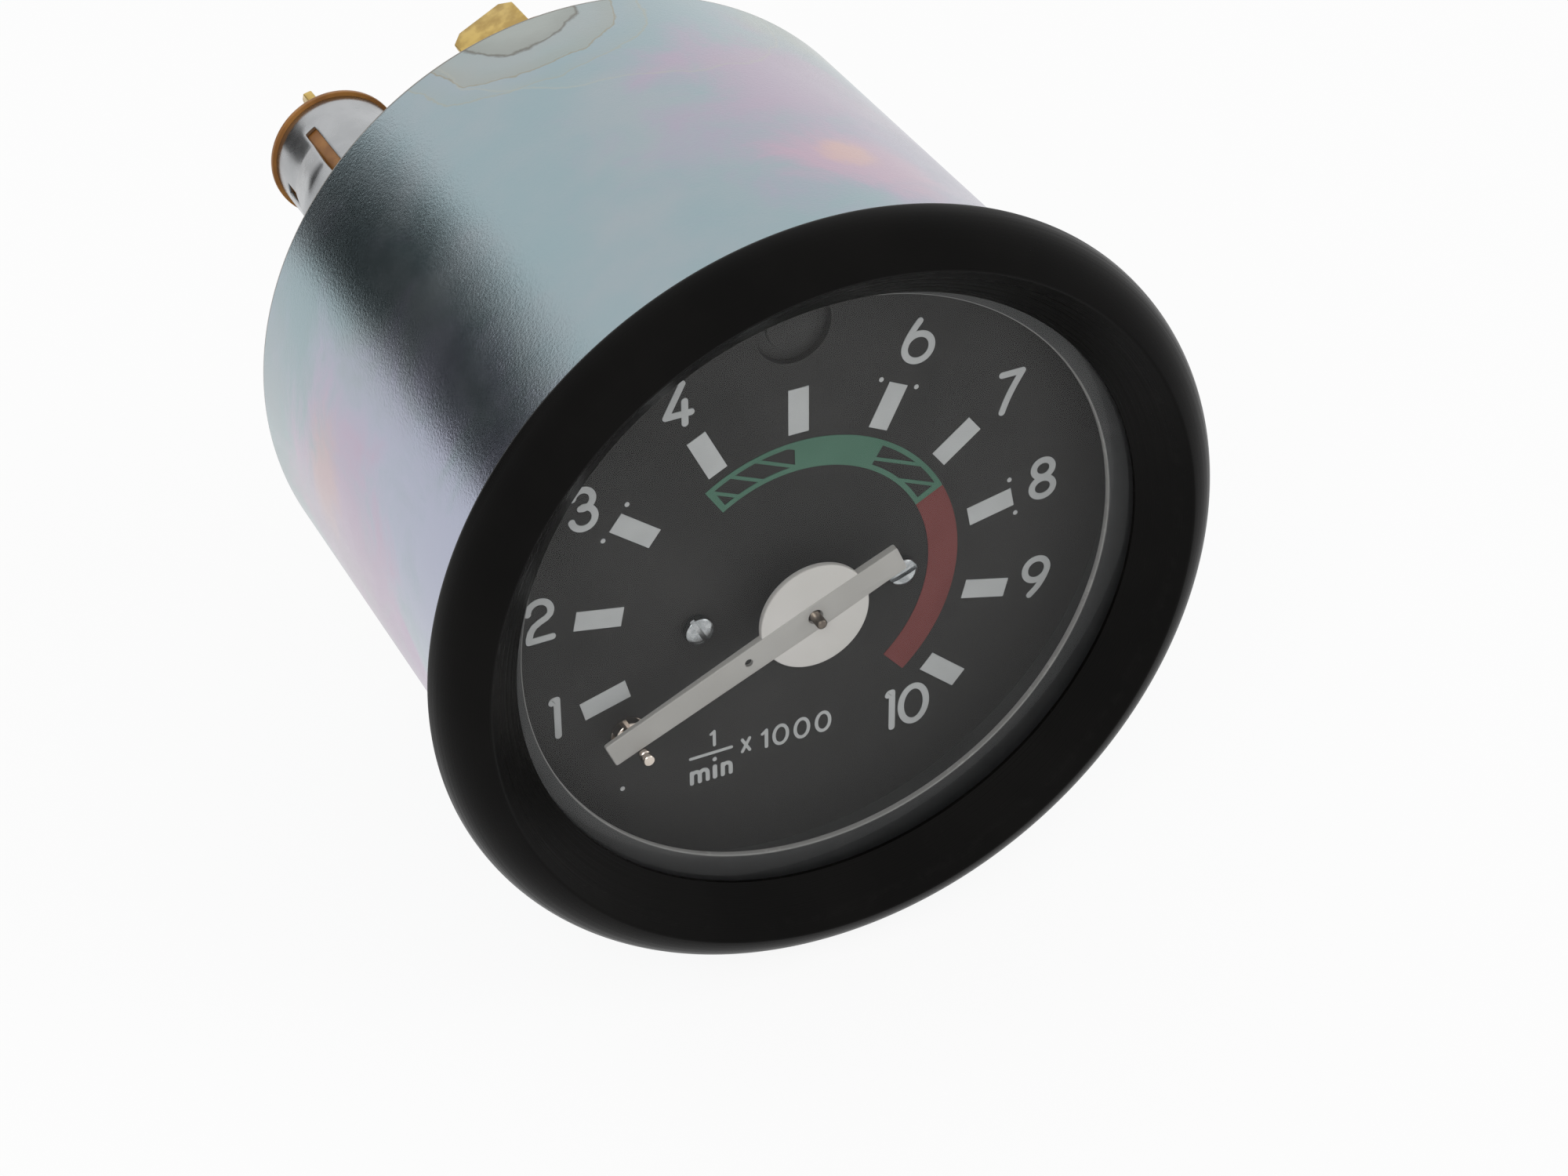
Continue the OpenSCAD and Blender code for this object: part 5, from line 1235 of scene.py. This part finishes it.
# %% [markdown]
# ## Rear plate, screws, studs and nuts
# The rear plate closes the can. Three slotted screws hold the movement to it; two pressed-in
# studs, with a washer and a nut each, clamp the instrument to its bracket. Both studs come
# from one drawing, as do both washers and both nuts.

# %% Rear plate and movement screws
smoothed("rear_plate", "zinc_sheet", sharp=30)
rear_screw = slotted_screw("movement_screw_set", head_d=5.5, head_h=2.0, shank_d=3.0,
                           shank_len=3.9, seat=PLATE_REAR, up=-1)
in_ring(rear_screw, "zinc_screw", POINTER_AXIS, REAR_SCREW_CIRCLE, 3, first=60, step=120,
        turn=60, stands_for=["movement_screws"])
print("movement screws on a circle of", REAR_SCREW_CIRCLE)

# %% Studs, washers and nuts
STUD_CORE, STUD_RIDGE, STUD_PITCH = 1.62, 0.36, 0.7
STUD_HEAD_R, STUD_NECK_R, STUD_HEAD_FRONT, STUD_HEAD_REAR = 3.2, 2.4, -42.4, -43.4
WASHER_T, WASHER_IN_R, WASHER_R = 0.8, 2.1, 4.4
NUT_T, NUT_FLATS, STUD_END = 2.2, 7.0, PLATE_REAR - 13.0
stud_circle = math.hypot(*STUDS[1])
stud_first = math.degrees(math.atan2(STUDS[1][1], STUDS[1][0]))
stud_ring = dict(centre=(0, 0), radius=stud_circle, count=2, first=stud_first,
                 step=180 - 2 * (180 + stud_first))
nut_front = PLATE_REAR - WASHER_T
nut_rear = nut_front - NUT_T
stud = piece("stud_set", *revolved(eased(
    [(0, STUD_HEAD_FRONT), (STUD_HEAD_R, STUD_HEAD_FRONT), (STUD_HEAD_R, STUD_HEAD_REAR),
     (STUD_NECK_R, STUD_HEAD_REAR), (STUD_NECK_R, PLATE_REAR), (STUD_CORE, PLATE_REAR),
     (STUD_CORE, STUD_END + 0.35), (STUD_CORE - 0.35, STUD_END), (0, STUD_END)],
    0.08, steps=2), steps=48))
stud_thread = thread("stud_thread", "zinc_screw", STUD_CORE, STUD_RIDGE, STUD_PITCH,
                     PLATE_REAR - 0.1, STUD_END + 0.45)
in_ring(merged(stud, stud_thread), "zinc_screw", stands_for=["rear_studs"], sharp=40, **stud_ring)

washer = piece("washer_set", *revolved(eased(
    ring_section(WASHER_IN_R, WASHER_R, PLATE_REAR, nut_front), 0.12, steps=3), steps=96))
in_ring(washer, "zinc_screw", stands_for=["stud_washers"], **stud_ring)


CHAMFER = 0.3


def hex_nut(name, flats, front, rear, bore_r):
    """A six-sided bar, turned off at its corners on both faces and bored."""
    corner_r = flats / math.sqrt(3)
    bar = piece(name, *revolved(ring_section(0, corner_r, rear, front), steps=6))
    cone = (corner_r - flats / 2) * 0.5
    blank = piece("blank", *revolved(
        [(0, rear), (flats / 2 - 0.05, rear), (corner_r + 0.1, rear + cone + 0.06),
         (corner_r + 0.1, front - cone - 0.06), (flats / 2 - 0.05, front), (0, front)], steps=96))
    cut_with(bar, blank, operation="INTERSECT")
    mouth_r = bore_r + CHAMFER
    bore = piece("bore", *revolved([(0, rear - 1), (mouth_r, rear - 1), (mouth_r, rear),
                                    (bore_r, rear + CHAMFER), (bore_r, front - CHAMFER),
                                    (mouth_r, front), (mouth_r, front + 1), (0, front + 1)],
                                   steps=48))
    return cut_with(bar, bore)


nut = hex_nut("nut_set", NUT_FLATS, nut_front, nut_rear, STUD_CORE + STUD_RIDGE - 0.1)
in_ring(nut, "zinc_screw", turn=12, turn_step=25, stands_for=["stud_nuts"], sharp=25, **stud_ring)
print("studs at", round(stud_circle, 2), "from the case axis")

# %% [markdown]
# ## Lamp holders
# Each lamp holder is a sleeve rolled from plated sheet. Two pairs of slots leave two tongues,
# bent out to a shallow roof so that the sleeve snaps into its hole in the rear plate. The
# indicator's sleeve is the shorter one. The sheet is a grid of angles and depths with the slots
# left out; Solidify gives it its thickness, and a bevel breaks the cut edges.

# %% Lamp sleeves
SLEEVE_R, SLEEVE_WALL, SLEEVE_FRONT = 5.45, 0.35, -40.9
DIAL_SLEEVE = dict(rear=-57.7, slot_root=-54.8, fold=-52.9)
INDICATOR_SLEEVE = dict(rear=-51.6, slot_root=-50.4, fold=-50.0)
RIDGE, RIDGE_RISE = (-49.0, -48.2, -46.2, -45.7), (0, 0.06, 0.73, 0.73, 0.07, 0)
SLOT_EDGES, FOLD_LEN = (0, 11, 60, 71, 180), 0.3


def in_steps(knots, longest):
    """Numbers from knot to knot, with no step longer than longest."""
    made = [knots[0]]
    for a, b in zip(knots, knots[1:]):
        made += list(np.linspace(a, b, math.ceil((b - a) / longest - 1e-6) + 1))[1:]
    return made


def lamp_sleeve(name, centre, slot_turn, node, rear, slot_root, fold):
    """A slotted lamp sleeve about one lamp's axis."""
    sector = in_steps(SLOT_EDGES, 3.7)[:-1]
    angles = [a + 180 * half for half in (0, 1) for a in sector]
    bends = (fold, fold + FOLD_LEN) + RIDGE
    depths = in_steps((rear, slot_root) + bends + (SLEEVE_FRONT,), 1.0)
    points, faces, n = [], [], len(angles)
    for z in depths:
        for a in angles:
            on_tongue = SLOT_EDGES[1] - 0.1 < a % 180 < SLOT_EDGES[2] + 0.1 and z > slot_root
            r = SLEEVE_R + (np.interp(z, bends, RIDGE_RISE) if on_tongue else 0.0)
            t = math.radians(a + slot_turn)
            points.append((centre[0] + r * math.cos(t), centre[1] + r * math.sin(t), z))
    for k in range(len(depths) - 1):
        for i in range(n):
            middle = angles[i] % 180 + (angles[(i + 1) % n] - angles[i]) % 360 / 2
            in_slot = middle < SLOT_EDGES[1] or SLOT_EDGES[2] < middle < SLOT_EDGES[3]
            if not (in_slot and depths[k] > slot_root - 0.01):
                faces.append((k * n + i, k * n + (i + 1) % n, (k + 1) * n + (i + 1) % n,
                              (k + 1) * n + i))
    sleeve = piece(name, points, faces)
    sheet = sleeve.modifiers.new("sheet", "SOLIDIFY")
    sheet.thickness, sheet.offset, sheet.use_even_offset = SLEEVE_WALL * MM, -1.0, True
    edges = sleeve.modifiers.new("edges", "BEVEL")
    edges.width, edges.segments = 0.06 * MM, 2
    edges.limit_method, edges.angle_limit = "ANGLE", math.radians(50)
    return settle(kept(sleeve), "lamp_sleeve", stands_for=[node])


def span(obj):
    """Lowest and highest corner of a piece, in millimetres of the frame."""
    corners = np.array([v.co for v in obj.data.vertices]) / MM
    return corners.min(0).round(2).tolist(), corners.max(0).round(2).tolist()


for label, centre, slot_turn, sizes in (("dial", DIAL_LAMP, 120, DIAL_SLEEVE),
                                        ("indicator", INDICATOR_LAMP, 60, INDICATOR_SLEEVE)):
    sleeve = lamp_sleeve(label + "_lamp_holder", centre, slot_turn, label + "_lamp_sleeve",
                         **sizes)
    print(sleeve.name, span(sleeve))

# %% [markdown]
# A moulded phenolic insulator closes each sleeve, and a brass blade for a push-on connector is
# held in it. The blade's corners are cut off and its edges are softened by the press. In the
# shorter holder the spring washer sits as much deeper, and the bulb's base is cut to the room.

# %% Insulators and blades
DISC_T, RIM_T, FLOOR_T, CUP_FRONT = 1.2, 0.4, 3.0, -46.7
DISC_R, NECK_R, CUP_R, CUP_IN_R = 5.8, 4.9, 5.05, 4.65
BLADE_HALF, BLADE_T, TIP_CUT = 3.15, 0.8, 1.0


def terminal_blade(name, centre, turn_deg, shift, tip, root, node):
    """A connector blade standing out of an insulator."""
    outline = [(-BLADE_HALF, root), (BLADE_HALF, root), (BLADE_HALF, tip + TIP_CUT),
               (BLADE_HALF - TIP_CUT, tip), (-BLADE_HALF + TIP_CUT, tip),
               (-BLADE_HALF, tip + TIP_CUT)]
    c, s = math.cos(math.radians(turn_deg)), math.sin(math.radians(turn_deg))

    def face(side):
        y = side * BLADE_T / 2
        return [(centre[0] + shift[0] + x * c - y * s, centre[1] + shift[1] + x * s + y * c, z)
                for x, z in outline]

    blade = piece(name, *lofted([face(-1), face(1)]))
    return settle(broken_edges(blade, 0.12, 3, 40), "blade_brass", stands_for=[node])


for label, centre, rear, turn_deg, shift, tip in (
        ("dial", DIAL_LAMP, DIAL_SLEEVE["rear"], 103.0, (0.5, 0.0), -64.89),
        ("indicator", INDICATOR_LAMP, INDICATOR_SLEEVE["rear"], 27.9, (-0.63, -0.23), -64.4)):
    floor_front = rear + FLOOR_T
    cup = [(0, rear - DISC_T), (NECK_R, rear - DISC_T), (NECK_R + 0.3, rear - RIM_T),
           (DISC_R, rear - RIM_T), (DISC_R, rear), (CUP_R, rear), (CUP_R, CUP_FRONT),
           (CUP_IN_R, CUP_FRONT), (CUP_IN_R, floor_front), (0, floor_front)]
    turned(label + "_lamp_insulating_cup", eased(cup, 0.1, steps=3), "insulator_brown",
           centre=centre, steps=128, stands_for=[label + "_lamp_insulator"])
    blade = terminal_blade(label + "_lamp_terminal", centre, turn_deg, shift, tip, floor_front,
                           label + "_lamp_blade")
    print(blade.name, span(blade))

SINK, BASE_FRONT = INDICATOR_SLEEVE["rear"] - DIAL_SLEEVE["rear"], 44.0


def sunk(mesh):
    """Move the spring washer as much deeper as the sleeve is shorter."""
    for v in mesh.vertices:
        v.co.y -= SINK * MM


def cut_short(mesh):
    """Draw the bulb's base in to start in front of the sunk washer."""
    front, rear = BASE_FRONT * MM, max(v.co.y for v in mesh.vertices)
    share = (rear - SINK * MM - front) / (rear - front)
    for v in mesh.vertices:
        v.co.y = front + (v.co.y - front) * share if v.co.y > front else v.co.y


smoothed("indicator_lamp_contact", "spring_bronze", change=sunk)
smoothed("indicator_bulb_cap", "bulb_cap", change=cut_short)

# %% [markdown]
# ## The studio
# The instrument lies on its side on a white table in a white tent. For the camera, and for
# what metal and glass mirror, the world is white at strength 1; for soft light on matt
# surfaces it is lower, so that with the lamps a colour comes out about as it is written.

# %% World and table
def seen_or_mirrored(tree):
    """1 for camera rays and for rays that metal or glass sends on, 0 for soft light."""
    rays = add(tree, "LightPath").outputs
    mirrored = maths(tree, "MAXIMUM", rays["Is Glossy Ray"], rays["Is Transmission Ray"])
    return maths(tree, "MAXIMUM", rays["Is Camera Ray"], mirrored)


TABLE_Y, TABLE_REACH, SOFT_STRENGTH, GLOW_SHARE = -33.6, 2500, 0.62, 0.9
world = bpy.data.worlds.new("white_tent")
tree = bare_tree(world)
seen = add(tree, "Background", {"Color": shade(1, 1, 1), "Strength": 1.0})
soft_light = add(tree, "Background", {"Color": shade(1, 1, 1), "Strength": SOFT_STRENGTH})
both = add(tree, "MixShader", {0: seen_or_mirrored(tree), 1: soft_light.outputs[0],
                               2: seen.outputs[0]})
add(tree, "OutputWorld", {"Surface": both.outputs[0]})
bpy.context.scene.world = world

table_top = piece("table_top", [(x, TABLE_Y, z) for x, z in (
    (-TABLE_REACH, TABLE_REACH), (TABLE_REACH, TABLE_REACH), (TABLE_REACH, -TABLE_REACH),
    (-TABLE_REACH, -TABLE_REACH))], [(0, 1, 2, 3)])
paper = bpy.data.materials.new("white_paper")
tree = bare_tree(paper)
matt = add(tree, "BsdfDiffuse", {"Color": shade(0.95, 0.95, 0.95)})
glow = add(tree, "Emission", {"Color": shade(1, 1, 1), "Strength": 1.0})
both = add(tree, "MixShader", {0: maths(tree, "MULTIPLY", seen_or_mirrored(tree), GLOW_SHARE),
                               1: matt.outputs[0], 2: glow.outputs[0]})
add(tree, "OutputMaterial", {"Surface": both.outputs[0]})
table_top.data.materials.append(paper)
print("table at", TABLE_Y)

# %% [markdown]
# Two soft lamps model the dial and the pointer. A dark card stands behind the instrument on
# the left: nothing but the plated case mirrors it, and it draws the dark band along the can.

# %% Lamps and dark card
def soft_lamp(name, place, size, watts):
    """A square area lamp that lights matt surfaces and isn't itself mirrored."""
    data = bpy.data.lights.new(name, "AREA")
    data.size, data.energy = size, watts
    lamp = linked(name, data)
    lamp.location = place
    lamp.rotation_euler = (-Vector(place)).to_track_quat("-Z", "Y").to_euler()
    lamp.visible_glossy = False


soft_lamp("left_softbox", (-0.75, -0.95, 0.95), 0.8, 7.0)
soft_lamp("right_softbox", (0.95, -0.7, 0.6), 0.6, 2.5)

CARD_LEFT, CARD_RIGHT, CARD_LOW, CARD_TOP, CARD_DEPTH = -520, -170, -30, 205, -450
card = piece("dark_card", [(x, y, CARD_DEPTH) for x, y in (
    (CARD_LEFT, CARD_LOW), (CARD_RIGHT, CARD_LOW), (CARD_RIGHT, CARD_TOP),
    (CARD_LEFT, CARD_TOP))], [(0, 1, 2, 3)])
card_black = bpy.data.materials.new("card_black")
tree = bare_tree(card_black)
matt = add(tree, "BsdfDiffuse", {"Color": shade(0.03, 0.03, 0.03)})
add(tree, "OutputMaterial", {"Surface": matt.outputs[0]})
card.data.materials.append(card_black)
card.visible_camera = card.visible_diffuse = card.visible_shadow = False

bpy.context.scene.view_settings.view_transform = "Standard"
print("studio ready")
